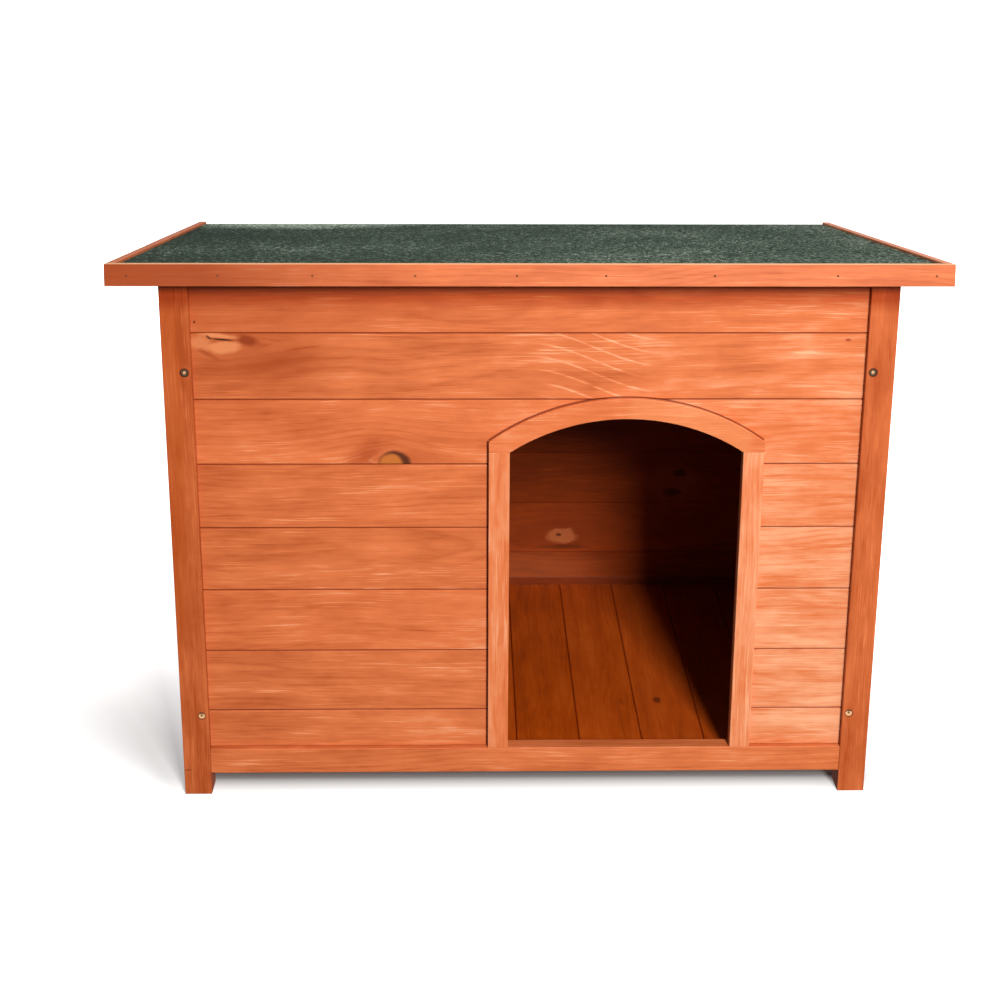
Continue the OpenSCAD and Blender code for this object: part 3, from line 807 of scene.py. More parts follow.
    def joints(self, w: Wiring, colour: Socket, spot: Spot, board: Board) -> Socket:
        """Darkens the joints between the boards, and paints shade beside the legs and round the doorway's trim.

        Args:
            w: The material's wiring.
            colour: The colour so far.
            spot: The place.
            board: The board that it lies on.

        Returns:
            The colour with the dark joints and the painted shade.
        """
        if self.pitch:
            rim = w.sum("SUBTRACT", self.pitch / 2, w.sum("ABSOLUTE", w.sum("SUBTRACT", spot.across, board.centre)))
            colour = w.mix(w.over(rim, Fade.BOARD_JOINT), colour, SEAM)
        # painted shade on the boards beside each leg
        if self.corner:
            rim = w.sum("SUBTRACT", self.corner, w.sum("ABSOLUTE", spot.along))
            colour = w.mix(w.over(rim, Fade.LEG_JOINT), colour, SEAM)
        # painted shade round the doorway's header, and the left jamb's painted shadow
        if self.header:
            colour = self.trim_joint(w, colour, spot, self.header)
        return colour

    @staticmethod
    def trim_joint(w: Wiring, colour: Socket, spot: Spot, header: Header) -> Socket:
        """Paints shade round the doorway's round header where it stands on a board, and the shadow that its left
        jamb casts.

        Args:
            w: The material's wiring.
            colour: The colour so far.
            spot: The place.
            header: The header.

        Returns:
            The colour with the painted shade.
        """
        off_a, off_c = w.sum("SUBTRACT", spot.along, header.along), w.sum("SUBTRACT", spot.across, header.across)
        rim = w.sum("ABSOLUTE", w.sum("SUBTRACT", w.length(off_a, off_c), header.radius + header.outside))
        line = w.over(rim, Fade.HEADER_JOINT)
        line = w.sum("MULTIPLY", line, w.sum("LESS_THAN", w.sum("ABSOLUTE", off_a), header.half))
        rim = w.sum("ABSOLUTE", w.sum("ADD", off_a, header.half + header.beside))
        beside = w.over(rim, Fade.JAMB_JOINT)
        shoulder = math.sqrt(header.radius ** 2 - header.half ** 2)
        beside = w.sum("MULTIPLY", beside, w.sum("LESS_THAN", off_c, shoulder))
        return w.mix(w.sum("MAXIMUM", line, beside), colour, UMBER)

    def weather(self, w: Wiring, colour: Socket, spot: Spot) -> Socket:
        """Paints a highlight along the upper edge, and the shadow under the roof.

        Args:
            w: The material's wiring.
            colour: The colour so far.
            spot: The place.

        Returns:
            The colour with both.
        """
        _, back, up = spot.axes
        # painted highlight: the top face and its arris paler
        if self.worn_top:
            fall = math.radians(self.worn_fall)
            height = w.sum("MULTIPLY_ADD", up, math.cos(fall), w.sum("MULTIPLY", back, math.sin(fall)))
            below = w.sum("SUBTRACT", self.worn_top, height)
            colour = w.mix(w.over(below, Fade.WORN_EDGE), colour, self.worn_colour)
        # painted shadow under the roof's front edge
        if self.eaves:
            below = w.sum("SUBTRACT", self.eaves, up)
            colour = w.mix(w.over(below, Fade.EAVES), colour, SHELTERED, "MULTIPLY")
        return colour

    def material(self, name: str) -> bpy.types.Material:
        """Builds the material.

        Args:
            name: Its name.

        Returns:
            The material.
        """
        material, w, shader = new_material(name)
        spot = self.spot(w)
        board = self.board(w, spot)
        level, streaks, relief = self.grain(w, spot, board)
        colour = self.joints(w, self.tint(w, spot, board, level), spot, board)
        for blot in self.blots:
            colour = blot.over(w, colour, spot.along, spot.across)
        w.feed(shader.inputs["Base Color"], self.weather(w, colour, spot))
        w.feed(shader.inputs["Roughness"], w.sum("MULTIPLY_ADD", streaks, 0.3, 0.3))
        shader.inputs["Specular IOR Level"].default_value = self.gloss
        w.feed(shader.inputs["Normal"], w.bump(relief, 0.25, 0.5 * MM))
        return material


@dataclass(frozen=True)
class MineralFelt:
    """Bitumen felt with green mineral granules.

    Attributes:
        coarse: The coarse granules' size in millimetres.
        fine: The fine granules' size in millimetres.
        worn_at: The middle of the patch of wear at the rear left, in metres.
        worn_size: The patch's half sizes, in metres.
        stones: The granules' colours, from the darkest to the palest.
    """

    coarse: float = 3.4
    fine: float = 1.5
    worn_at: tuple[float, float] = (-0.4, 0.42)
    worn_size: tuple[float, float] = (0.28, 0.17)
    stones: tuple[tuple[float, Colour], ...] = (
        (0.14, srgb(10, 26, 16)), (0.47, srgb(30, 49, 35)), (0.68, srgb(56, 75, 59)),
        (0.86, srgb(122, 138, 122)), (1.0, srgb(190, 198, 182)))

    @staticmethod
    def granules(w: Wiring, place: Socket, size: float) -> tuple[Socket, Socket]:
        """Strews granules.

        Args:
            w: The material's wiring.
            place: The place in metres.
            size: A granule's size in millimetres.

        Returns:
            A random value for each granule, and the distance from its middle.
        """
        cells = w.node("ShaderNodeTexVoronoi")
        w.feed(cells.inputs["Vector"], place)
        cells.inputs["Scale"].default_value = 1 / (size * MM)
        pick, _, _ = w.parts(cells.outputs["Color"])
        return pick, cells.outputs["Distance"]

    def wear(self, w: Wiring, x: Socket, y: Socket) -> Socket:
        """Measures how much wear a place has, from 0 to 1 in the middle of the patch.

        Args:
            w: The material's wiring.
            x: How far to the right it lies, in metres.
            y: How far back it lies, in metres.

        Returns:
            How much wear it has.
        """
        worn_x = w.sum("DIVIDE", w.sum("SUBTRACT", x, self.worn_at[0]), self.worn_size[0])
        worn_y = w.sum("DIVIDE", w.sum("SUBTRACT", y, self.worn_at[1]), self.worn_size[1])
        worn = w.sum("ADD", w.sum("MULTIPLY", worn_x, worn_x), w.sum("MULTIPLY", worn_y, worn_y))
        return w.sum("SUBTRACT", 1.0, worn, clamp=True)

    def material(self, name: str) -> bpy.types.Material:
        """Builds the material.

        Args:
            name: Its name.

        Returns:
            The material.
        """
        material, w, shader = new_material(name)
        place = w.node("ShaderNodeTexCoord").outputs["Object"]
        big, _ = self.granules(w, place, self.coarse)
        small, dome = self.granules(w, place, self.fine)
        clumps = w.noise(place, 3.0, 0.6, 120.0).outputs["Fac"]
        broad = w.noise(place, 2.0, 0.5, 4.0).outputs["Fac"]
        x, y, _ = w.parts(place)
        pick = w.sum("ADD", w.sum("MULTIPLY", big, 0.6), w.sum("MULTIPLY", small, 0.4))
        pick = w.sum("MULTIPLY_ADD", w.sum("SUBTRACT", clumps, 0.5), 0.9, pick)
        pick = w.sum("MULTIPLY_ADD", w.sum("SUBTRACT", broad, 0.5), 0.4, pick)
        # painted light: the felt grows paler towards the right, where the light falls from
        pick = w.sum("MULTIPLY_ADD", x, 0.13, pick)
        pick = w.sum("MULTIPLY_ADD", self.wear(w, x, y), 0.5, pick)
        w.feed(shader.inputs["Base Color"], w.ramp(pick, self.stones))
        shader.inputs["Roughness"].default_value = 0.8
        shader.inputs["Specular IOR Level"].default_value = 0.3
        height = w.sum("SUBTRACT", w.sum("MULTIPLY", small, 0.5), dome)
        w.feed(shader.inputs["Normal"], w.bump(height, 0.6, 0.8 * MM))
        return material


class Plating(Enum):
    """The plating of a steel piece: its colour, and the colour of its stains."""

    YELLOW = (srgb(250, 204, 152), srgb(204, 138, 88))
    BRIGHT = (srgb(190, 192, 196), srgb(130, 132, 138))
    STAINED = (srgb(126, 78, 48), srgb(84, 44, 24))


@dataclass(frozen=True)
class ZincPlate:
    """Zinc-plated steel."""

    plating: Plating
    roughness: float = 0.34

    def material(self, name: str) -> bpy.types.Material:
        """Builds the material.

        Args:
            name: Its name.

        Returns:
            The material.
        """
        material, w, shader = new_material(name)
        coordinates = w.node("ShaderNodeTexCoord").outputs["Object"]
        cloud = w.noise(coordinates, 4.0, 0.6, 260.0).outputs["Fac"]
        spangle = w.noise(coordinates, 2.0, 0.5, 1400.0).outputs["Fac"]
        clean, stained = self.plating.value
        w.feed(shader.inputs["Base Color"], w.mix(w.curve(cloud, ((0.42, 0.0), (0.72, 0.8))), clean, stained))
        shader.inputs["Metallic"].default_value = 1.0
        w.feed(shader.inputs["Roughness"], w.sum("MULTIPLY_ADD", cloud, 0.3, self.roughness - 0.1))
        w.feed(shader.inputs["Normal"], w.bump(spangle, 0.12, 0.0002))
        return material


@dataclass(frozen=True)
class ScrewHeads:
    """Yellow-zinc screw heads, with painted shade in their recessed centres and over the tops of the lower heads,
    the upper pair darker round their rims.

    Attributes:
        split: The height between the two pairs, in metres.
        metal: How metallic they look.
        tarnish: How dark the upper pair's rims are.
    """

    split: float = 0.4
    metal: float = 0.3
    tarnish: float = 0.9

    def material(self, name: str) -> bpy.types.Material:
        """Builds the material.

        Args:
            name: Its name.

        Returns:
            The material.
        """
        material = ZincPlate(Plating.YELLOW, 0.4).material(name)
        w = Wiring(material.node_tree)
        shader = material.node_tree.nodes["Principled BSDF"]
        shader.inputs["Metallic"].default_value = self.metal
        colour = shader.inputs["Base Color"].links[0].from_socket
        x, _, z = w.parts(w.node("ShaderNodeTexCoord").outputs["Object"])
        upper = w.sum("GREATER_THAN", z, self.split)
        lower = w.sum("SUBTRACT", 1.0, upper)
        level = w.sum("MULTIPLY_ADD", upper, (SCREW_HIGH - SCREW_LOW) * MM, SCREW_LOW * MM)
        off_x = w.sum("SUBTRACT", w.sum("ABSOLUTE", x), SCREW_X * MM)
        off_z = w.sum("SUBTRACT", z, level)
        span = w.length(off_x, off_z)
        ring = w.sum("MULTIPLY", w.over(span, Fade.SCREW_RIM), upper)
        # painted shade in the lower heads' centres, and a painted shadow over their tops from the recess
        drive = w.sum("MULTIPLY", w.over(span, Fade.SCREW_DRIVE), lower)
        arc = w.sum("MULTIPLY", w.over(off_z, Fade.SCREW_SHADE), lower)
        tarnished = w.mix(w.sum("MULTIPLY", ring, self.tarnish), colour, SOOT)
        w.feed(shader.inputs["Base Color"], w.mix(arc, w.mix(drive, tarnished, CHAR), CHAR))
        return material


@dataclass(frozen=True)
class CastShadow:
    """The faint shadow painted on the floor, fanning out to the left and the back of the kennel, in metres.

    Attributes:
        side: How far the cabin's left side lies from the middle.
        front: Where the cabin's front lies.
        start: How far to the left the deepest line starts.
        spread: How far it moves to the left in a metre to the back.
        soft: How softly that line is rounded, as a square.
        trim: What the rounding adds on that line, taken off again.
        fan: How fast the shadow fades on the left of the line.
        nearest: The least distance to the back that the fading is worked out for.
        lift: How fast the shadow fades on the right of the line.
        long: How far it reaches to the back.
        edge: How fast it starts beside the cabin.
        right_fade: How much it fades, over the distance to the right.
        back_fade: How much it fades, over the distance to the back.
    """

    side: float = 0.492
    front: float = -0.376
    start: float = 0.035
    spread: float = 0.45
    soft: float = 0.0003
    trim: float = 0.005
    fan: float = 0.33
    nearest: float = 0.05
    lift: float = 4.6
    long: float = 0.6
    edge: float = 33.0
    right_fade: Stops = ((0.0, 0.0), (0.4, 0.4), (0.8, 0.45))
    back_fade: Stops = ((0.0, 0.36), (0.04, 0.25), (0.08, 0.15), (0.16, 0.13), (0.26, 0.13),
                        (0.37, 0.17), (0.48, 0.24), (0.6, 0.37), (0.73, 0.6), (0.86, 1.0))

    def clear_of(self, w: Wiring, x: Socket, y: Socket) -> Socket:
        """Measures how far out of the shadow a place lies.

        Args:
            w: The floor's wiring.
            x: The place to the right.
            y: The place to the back.

        Returns:
            0 in the deepest shadow, 1 out of it.
        """
        beside = w.sum("MULTIPLY_ADD", x, -1.0, -self.side)
        behind = w.sum("SUBTRACT", y, self.front)
        rim = w.sum("SUBTRACT", beside, w.sum("MULTIPLY_ADD", behind, self.spread, self.start))
        size = w.sum("SQRT", w.sum("MULTIPLY_ADD", rim, rim, self.soft))
        outside = w.sum("MULTIPLY_ADD", w.sum("ADD", size, rim), 0.5, -self.trim)
        inside = w.sum("MULTIPLY_ADD", w.sum("SUBTRACT", size, rim), 0.5, -self.trim)
        fan = w.sum("DIVIDE", w.sum("MULTIPLY", outside, self.fan), w.sum("MAXIMUM", behind, self.nearest))
        lift = w.curve(w.sum("MULTIPLY", inside, self.lift), self.right_fade, smooth=True)
        deep = w.curve(w.sum("DIVIDE", behind, self.long), self.back_fade, smooth=True)
        shade = w.sum("ADD", deep, w.sum("ADD", fan, lift))
        return w.sum("MULTIPLY", shade, w.sum("MULTIPLY", beside, self.edge, clamp=True))


@dataclass(frozen=True)
class PaleFloor:
    """A white floor that glows, with painted shade under the kennel and its painted shadow beside it.

    Attributes:
        right: Where the ground under the kennel ends on the right, in metres.
        left: How much of the distance to the left counts, and where it starts.
        front: Where that ground ends at the front.
        rear: Where it ends at the back.
        near: The width of the soft edge round it.
        tones: The paint's tones over that edge, darker near the kennel as painted shade.
        near_glow: How strongly the floor glows over that edge.
        far_glow: How much more it glows farther out.
    """

    right: float = 0.5
    left: tuple[float, float] = (0.45, 0.234)
    front: float = 0.33
    rear: float = 0.05
    near: float = 0.1
    tones: Stops = ((0.0, 0.4), (0.2, 0.5), (0.43, 0.7), (1.0, 0.8))
    near_glow: Stops = ((0.0, 0.0), (0.08, 0.1), (0.2, 0.3), (0.43, 0.52), (1.0, 0.95))
    far_glow: Stops = ((0.1, 0.0), (0.4, 0.2), (1.0, 0.38))

    def material(self, name: str) -> bpy.types.Material:
        """Builds the material.

        Args:
            name: Its name.

        Returns:
            The material.
        """
        material, w, shader = new_material(name)
        x, y, _ = w.parts(w.node("ShaderNodeTexCoord").outputs["Object"])
        share, start = self.left
        left, right = w.sum("MULTIPLY_ADD", x, -share, -start), w.sum("SUBTRACT", x, self.right)
        front, rear = w.sum("MULTIPLY_ADD", y, -1.0, -self.front), w.sum("SUBTRACT", y, self.rear)
        end = w.sum("MAXIMUM", w.sum("MAXIMUM", front, rear), 0.0)
        reach = w.length(w.sum("MAXIMUM", w.sum("MAXIMUM", left, right), 0.0), end)
        close = w.length(w.sum("MAXIMUM", right, 0.0), end)
        close = w.sum("MAXIMUM", w.sum("MULTIPLY", close, 1 / self.near), CastShadow().clear_of(w, x, y))
        w.feed(shader.inputs["Base Color"], w.curve(close, self.tones))
        shader.inputs["Roughness"].default_value = 0.9
        shader.inputs["Specular IOR Level"].default_value = 0.1
        shader.inputs["Emission Color"].default_value = (1, 1, 1, 1)
        glow = w.sum("ADD", w.curve(close, self.near_glow), w.curve(reach, self.far_glow))
        w.feed(shader.inputs["Emission Strength"], glow)
        return material


class Workbench:
    """Shapes meshes with Blender's own operators."""

    @staticmethod
    def take(piece: bpy.types.Object) -> None:
        """Selects one piece alone and makes it active.

        Args:
            piece: The piece.
        """
        bpy.ops.object.select_all(action="DESELECT")
        piece.select_set(True)
        bpy.context.view_layer.objects.active = piece

    @classmethod
    def copy_of(cls, node: bpy.types.Object, name: str) -> bpy.types.Object:
        """Copies a CAD node as a clean mesh, its triangles merged to faces.

        Args:
            node: The CAD node.
            name: The copy's name.

        Returns:
            The copy.
        """
        piece = bpy.data.objects.new(name, node.data.copy())
        bpy.context.scene.collection.objects.link(piece)
        piece.data.name = name
        cls.take(piece)
        bpy.ops.object.mode_set(mode="EDIT")
        bpy.ops.mesh.select_all(action="SELECT")
        bpy.ops.mesh.remove_doubles(threshold=WELD_GAP)
        bpy.ops.mesh.dissolve_limited(angle_limit=FLAT_ANGLE)
        bpy.ops.object.mode_set(mode="OBJECT")
        return piece

    @classmethod
    def ease_arrises(cls, piece: bpy.types.Object, width: float, least: float, segments: int = 3) -> None:
        """Rounds the long sharp edges of a piece, as sandpaper does.

        Args:
            piece: The piece.
            width: The width taken off each arris, in metres.
            least: The shortest edge that is rounded, in metres.
            segments: The faces across the rounding.
        """
        cls.take(piece)
        bpy.ops.object.mode_set(mode="EDIT")
        bpy.ops.mesh.select_mode(type="EDGE")
        bpy.ops.mesh.select_all(action="DESELECT")
        shape = bmesh.from_edit_mesh(piece.data)
        for edge in shape.edges:
            sharp = len(edge.link_faces) == 2 and edge.calc_face_angle() > ARRIS_ANGLE
            edge.select_set(sharp and edge.calc_length() > least)
        bmesh.update_edit_mesh(piece.data)
        bpy.ops.mesh.bevel(offset=width, offset_type="OFFSET", segments=segments, profile=0.5, affect="EDGES",
                           clamp_overlap=False)
        bpy.ops.object.mode_set(mode="OBJECT")
        bpy.ops.object.shade_smooth_by_angle(angle=SMOOTH_ANGLE)
        even = piece.modifiers.new("even", "WEIGHTED_NORMAL")
        even.keep_sharp = True
        even.weight = 90
        bpy.ops.object.modifier_apply(modifier=even.name)


def dress(piece: bpy.types.Object, material: bpy.types.Material) -> None:
    """Gives every slot of a piece one material.

    Args:
        piece: The piece.
        material: The material.
    """
    if not piece.data.materials:
        piece.data.materials.append(material)
    for slot in piece.material_slots:
        slot.material = material


@dataclass
class Assembly:
    """A group of the kennel's pieces that move together.

    Attributes:
        body: The body that new pieces ride on.
        arris: The width taken off each arris, in metres.
        shortest: The shortest edge that is rounded on a planed piece, in metres.
    """

    frame: dict
    body: str
    arris: float = 1.1 * MM
    shortest: float = 6 * MM

    def node(self, name: str) -> bpy.types.Object:
        """Finds a CAD node by its name."""
        return self.frame["nodes"][name]

    def middle(self, name: str, run: Run) -> tuple[float, float]:
        """Measures a node's middle.

        Args:
            name: The node.
            run: The way its grain runs.

        Returns:
            Its middle across the face and into the piece, in millimetres.
        """
        low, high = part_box(name)
        centre = [(a + b) / 2 / MM for a, b in zip(low, high)]
        return centre[run.value[1]], centre[run.value[2]]

    def timber(self, name: str, run: Run, seed: float, eased: bool = True, **look: object) -> None:
        """Dresses a CAD node as a length of stained fir.

        Args:
            name: The node.
            run: The way its grain runs.
            seed: Which tree it was cut from.
            eased: Whether its arrises are rounded.
            look: Further settings of the finish.
        """
        piece = self.node(name)
        finish = StainedFir(run=run, seed=seed, middle=self.middle(name, run), **look)
        dress(piece, finish.material(f"fir_{name}"))
        if eased:
            self.round_edges(piece)
        log.info("dressed %s", name)

    def round_edges(self, piece: bpy.types.Object) -> None:
        """Adds live modifiers that weld a CAD node's triangles and round its arrises.

        Args:
            piece: The CAD node.
        """
        weld = piece.modifiers.new("weld", "WELD")
        weld.merge_threshold = WELD_GAP
        bevel = piece.modifiers.new("arris", "BEVEL")
        bevel.width = self.arris
        bevel.segments = 3
        bevel.limit_method = "ANGLE"
        bevel.angle_limit = ARRIS_ANGLE
        bevel.harden_normals = True

    def planed(self, name: str, new_name: str, run: Run, seed: float, **look: object) -> bpy.types.Object:
        """Makes a planed copy of a node that has holes in it, and lets it stand for the node.

        Args:
            name: The node.
            new_name: The copy's name.
            run: The way its grain runs.
            seed: Which tree it was cut from.
            look: Further settings of the finish.

        Returns:
            The copy.
        """
        piece = Workbench.copy_of(self.node(name), new_name)
        Workbench.ease_arrises(piece, self.arris, self.shortest)
        finish = StainedFir(run=run, seed=seed, middle=self.middle(name, run), **look)
        piece.data.materials.clear()
        dress(piece, finish.material(f"fir_{new_name}"))
        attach(piece, self.body)
        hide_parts(name)
        log.info("made %s", new_name)
        return piece


@dataclass
class Cabin(Assembly):
    """The plank cabin on its four legs, its sizes in millimetres."""

    body: str = "cabin"
    pitch: float = 97.0
    first_seam: float = 135.4
    rear_seam: float = 126.6
    floor_pitch: float = 95.8
    floor_first: float = -491.7
    front_plane: float = -361.0
    rear_plane: float = 252.0
    side_plane: float = 498.0
    leg_x: float = 472.0
    # where the painted shadow under the roof starts
    eaves: float = 787.0
    arch_centre: float = 292.0
    row_tones: tuple[float, ...] = (0.07, 0.05, 0.01, 0.05, 0.09)

    def legs(self) -> None:
        """Planes the four legs, with painted shade in the sunk holes round the front pair's screws."""
        for index, (place, side) in enumerate((p, s) for p in ("front", "rear") for s in ("left", "right")):
            screw_x = -SCREW_X if side == "left" else SCREW_X
            marks: tuple[Blot, ...] = ()
            if place == "front":
                # painted shade in the sunk holes round the screw heads
                marks = (Blot(SCREW_LOW, screw_x, 6.0, 6.0, CHAR, ragged=0.12),
                         Blot(SCREW_HIGH, screw_x, 6.4, 6.4, SOOT, strength=0.95, ragged=0.12))
            if (place, side) == ("front", "left"):
                marks = (Blot(600.0, -520.0, 420.0, 32.0, RUSSET.pale, strength=0.45, soft=0.12, ragged=0.05),
                         *marks, Blot(41.0, -506.0, 0.8, 5.0, CHAR, soft=0.6, ragged=0.2))
            self.planed(f"{place}_leg_{side}", f"{place}_{side}_post", Run.HEIGHT, seed=11.3 + index,
                        # painted shade: the left legs take a higher tone, the light falling from the right
                        tone=0.45 if side == "left" else 0.33, ring=9.0, ring_share=0.08, blots=marks, gloss=0.14,
                        eaves=self.eaves if place == "front" else 0.0)

    def rails(self) -> None:
        """Dresses the rails, the stiles and the bearers."""
        for index, name in enumerate(("front_bottom_rail", "rear_bottom_rail", "front_top_rail", "rear_top_rail")):
            inside = (0.0, 0.0)
            if name == "rear_bottom_rail":
                inside = (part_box(name)[0][1] / MM + 2.0, -1.0)
            self.timber(name, Run.WIDTH, seed=21.7 + index, eased=name != "rear_top_rail", tone=0.24,
                        slope=-0.0001, inside=inside)
        for index, name in enumerate(("left_bottom_rail", "right_bottom_rail", "left_top_rail", "right_top_rail")):
            self.timber(name, Run.DEPTH_UPRIGHT, seed=26.1 + index, eased="top" not in name)
        stiles = ("front_left_stile", "front_right_stile", "rear_left_stile", "rear_right_stile",
                  "left_door_stile", "right_door_stile")
        for index, name in enumerate(stiles):
            self.timber(name, Run.HEIGHT, seed=31.9 + index, eased="door" in name)
        self.timber("floor_bearers", Run.WIDTH, seed=38.3)

    def doorway(self) -> None:
        """Dresses the doorway's trim."""
        pale_end = Blot(230.0, 590.0, 90.0, 120.0, PEACH, strength=0.35, soft=0.15, ragged=0.05)
        self.timber("left_door_jamb", Run.HEIGHT, seed=41.2, tone=0.02)
        self.timber("right_door_jamb", Run.HEIGHT, seed=43.8, tone=-0.2)
        self.timber("door_arch", Run.WIDTH, seed=45.1, tone=0.02, ring=7.5, blots=(pale_end,))

    def header(self) -> Header:
        """Measures the doorway's header.

        Returns:
            The header.
        """
        low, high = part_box("door_arch")
        return Header((low[0] + high[0]) / 2 / MM, self.arch_centre, high[2] / MM - self.arch_centre,
                      (high[0] - low[0]) / 2 / MM)

    @staticmethod
    def half_knot() -> tuple[Blot, ...]:
        """Marks the half knot above the fifth row, to the left of the doorway.

        Returns:
            Its patches.
        """
        return (Blot(-230.9, 537.1, 26.0, 14.0, REDDISH, strength=0.6, soft=1.3, ragged=0.35, turn=35.0),
                Blot(-155.5, 533.2, 30.0, 11.0, REDDISH, strength=0.3, soft=1.3),
                Blot(-191.2, 525.2, 22.5, 18.5, CHAR, strength=0.9, soft=0.25, ragged=0.1),
                Blot(-196.6, 525.2, 16.0, 14.0, TAN, strength=0.9, ragged=0.12))

    @staticmethod
    def spike_knot() -> tuple[Blot, ...]:
        """Marks the long split knot at the upper left, and the small one at the upper right.

        Returns:
            Their patches.
        """
        return (Blot(-375.0, 668.0, 92.0, 34.0, HONEY.deep, strength=0.3, soft=1.1, ragged=0.3),
                Blot(-355.9, 674.1, 42.0, 12.0, REDDISH, strength=0.5, soft=1.5, ragged=0.35, turn=14.0),
                Blot(-333.1, 657.2, 34.0, 6.0, REDDISH, strength=0.4, soft=1.4, ragged=0.3, turn=16.0),
                Blot(-393.6, 706.8, 14.0, 7.5, SEAM, strength=0.75, soft=0.8, ragged=0.3, turn=-14.0),
                Blot(-460.1, 703.9, 14.0, 10.0, PEACH, strength=0.45, soft=0.7, ragged=0.5),
                Blot(-426.3, 696.9, 23.0, 9.0, PEACH, strength=0.62, soft=0.45, ragged=0.35, turn=4.0),
                Blot(-434.3, 713.8, 24.0, 3.0, PEACH, strength=0.7, soft=0.8, ragged=0.3, turn=-6.0),
                Blot(-449.2, 687.0, 16.0, 2.4, SEAM, strength=0.4, soft=1.2, ragged=0.4, turn=-28.0),
                Blot(-447.2, 711.3, 4.5, 1.5, SOOT, soft=0.8, ragged=0.4, turn=-40.0),
                Blot(-428.3, 708.2, 15.0, 1.3, SOOT, strength=0.9, soft=0.8, ragged=0.5, turn=-5.0),
                Blot(445.5, 707.7, 4.0, 2.2, REDDISH, soft=0.9))

    def front_wall(self) -> None:
        """Dresses the boards of the front wall, its two large knots among them."""
        rows = {"eased": False, "inside": (self.front_plane, 1.0), "corner": self.leg_x, "pitch": self.pitch,
                "first": self.first_seam}
        header = self.header()
        for row, tone in enumerate(self.row_tones):
            self.timber(f"left_front_board_{row + 1}", Run.WIDTH, seed=51.4 + 1.7 * row, tone=tone,
                        slope=-0.0004, header=header, **rows)
            # painted light: the right boards take a lower tone, paler where the light falls from the right
            self.timber(f"right_front_board_{row + 1}", Run.WIDTH, seed=61.9 + 1.3 * row, tone=tone - 0.1,
                        slope=-0.0003, **rows)
        self.timber("arch_front_board", Run.WIDTH, seed=72.6, blots=self.half_knot(), slope=-0.0003, tone=0.03,
                    header=header, knots=(Knot(-192.2, 524.2, 32.0, 22.0),), **rows)
        shade = Blot(-596.0, 764.4, 330.0, 110.0, HONEY.deep, strength=0.5, soft=0.9, ragged=0.2)
        nail = Blot(-466.0, 733.6, 1.8, 1.8, CHAR, soft=0.5, ragged=0.0)
        self.timber("upper_front_board", Run.WIDTH, seed=74.3, blots=(shade, *self.spike_knot()), slope=-0.0003,
                    tone=0.15, header=header, sweep=Sweep(0.0, 185.0, 52.0, 19.0),
                    knots=(Knot(-427.3, 702.9, 48.0, 17.0),), **rows)
        self.timber("top_front_board", Run.WIDTH, seed=76.8, blots=(shade, nail), slope=-0.0002, tone=0.16,
                    eaves=self.eaves, **rows)

    def other_walls(self) -> None:
        """Dresses the boards of the side walls and the rear wall."""
        rows = {"pitch": self.pitch, "first": self.first_seam, "eased": False}
        rear = {**rows, "first": self.rear_seam}
        self.timber("left_wall_boards", Run.DEPTH_UPRIGHT, seed=81.5, inside=(-self.side_plane, 1.0), **rows)
        self.timber("right_wall_boards", Run.DEPTH_UPRIGHT, seed=83.1, inside=(self.side_plane, -1.0), **rows)
        # the first mark is a broad paler patch low in the middle of the wall; the rest are knots
        inner_knots = (Blot(0.0, 92.0, 150.0, 32.0, CLAY, strength=0.26, soft=0.8, ragged=0.2),
                       Blot(86.0, 158.0, 27.0, 15.0, CLAY, soft=0.4, ragged=0.5),
                       Blot(80.0, 160.0, 5.0, 3.0, CHAR, soft=0.6),
                       Blot(92.0, 136.0, 40.0, 4.5, CHAR, strength=0.5, soft=1.0, ragged=0.5),
                       Blot(292.0, 262.0, 44.0, 32.0, CLAY, strength=0.3, soft=0.8, ragged=0.8),
                       Blot(300.0, 281.0, 12.0, 8.0, CHAR, strength=0.75, soft=0.6, ragged=0.6),
                       Blot(287.0, 244.0, 15.0, 8.0, CHAR, strength=0.75, soft=0.6, ragged=0.6))
        # painted light and shade: the rear wall's higher tone and its gradient shade it inside the cabin
        self.timber("rear_wall_boards", Run.WIDTH, seed=85.7, inside=(self.rear_plane, -1.0), blots=inner_knots,
                    knots=(Knot(86.0, 158.0, 34.0, 18.0), Knot(292.0, 262.0, 30.0, 24.0)), gloss=0.12, figure=0.8,
                    tone=0.26, slope=-0.0005, **rear)

    def floor(self) -> None:
        """Dresses the floor boards."""
        knots = (Knot(-201.0, 216.0, 14.0, 9.0), Knot(-204.0, 158.0, 12.0, 8.0))
        blots = (Blot(-201.0, 216.0, 10.0, 6.0, CHAR, strength=0.7, soft=0.6),
                 Blot(-204.0, 158.0, 9.0, 3.0, CHAR, strength=0.22, soft=0.9, ragged=0.4))
        # painted shade: the darker AMBER stain shades the floor inside the cabin
        self.timber("floor_boards", Run.DEPTH_FLAT, seed=91.6, eased=False, pitch=self.floor_pitch,
                    first=self.floor_first, knots=knots, blots=blots, stain=AMBER, gloss=0.12, figure=0.6)

    def build(self) -> None:
        """Builds the whole cabin."""
        self.legs()
        self.rails()
        self.doorway()
        self.front_wall()
        self.other_walls()
        self.floor()


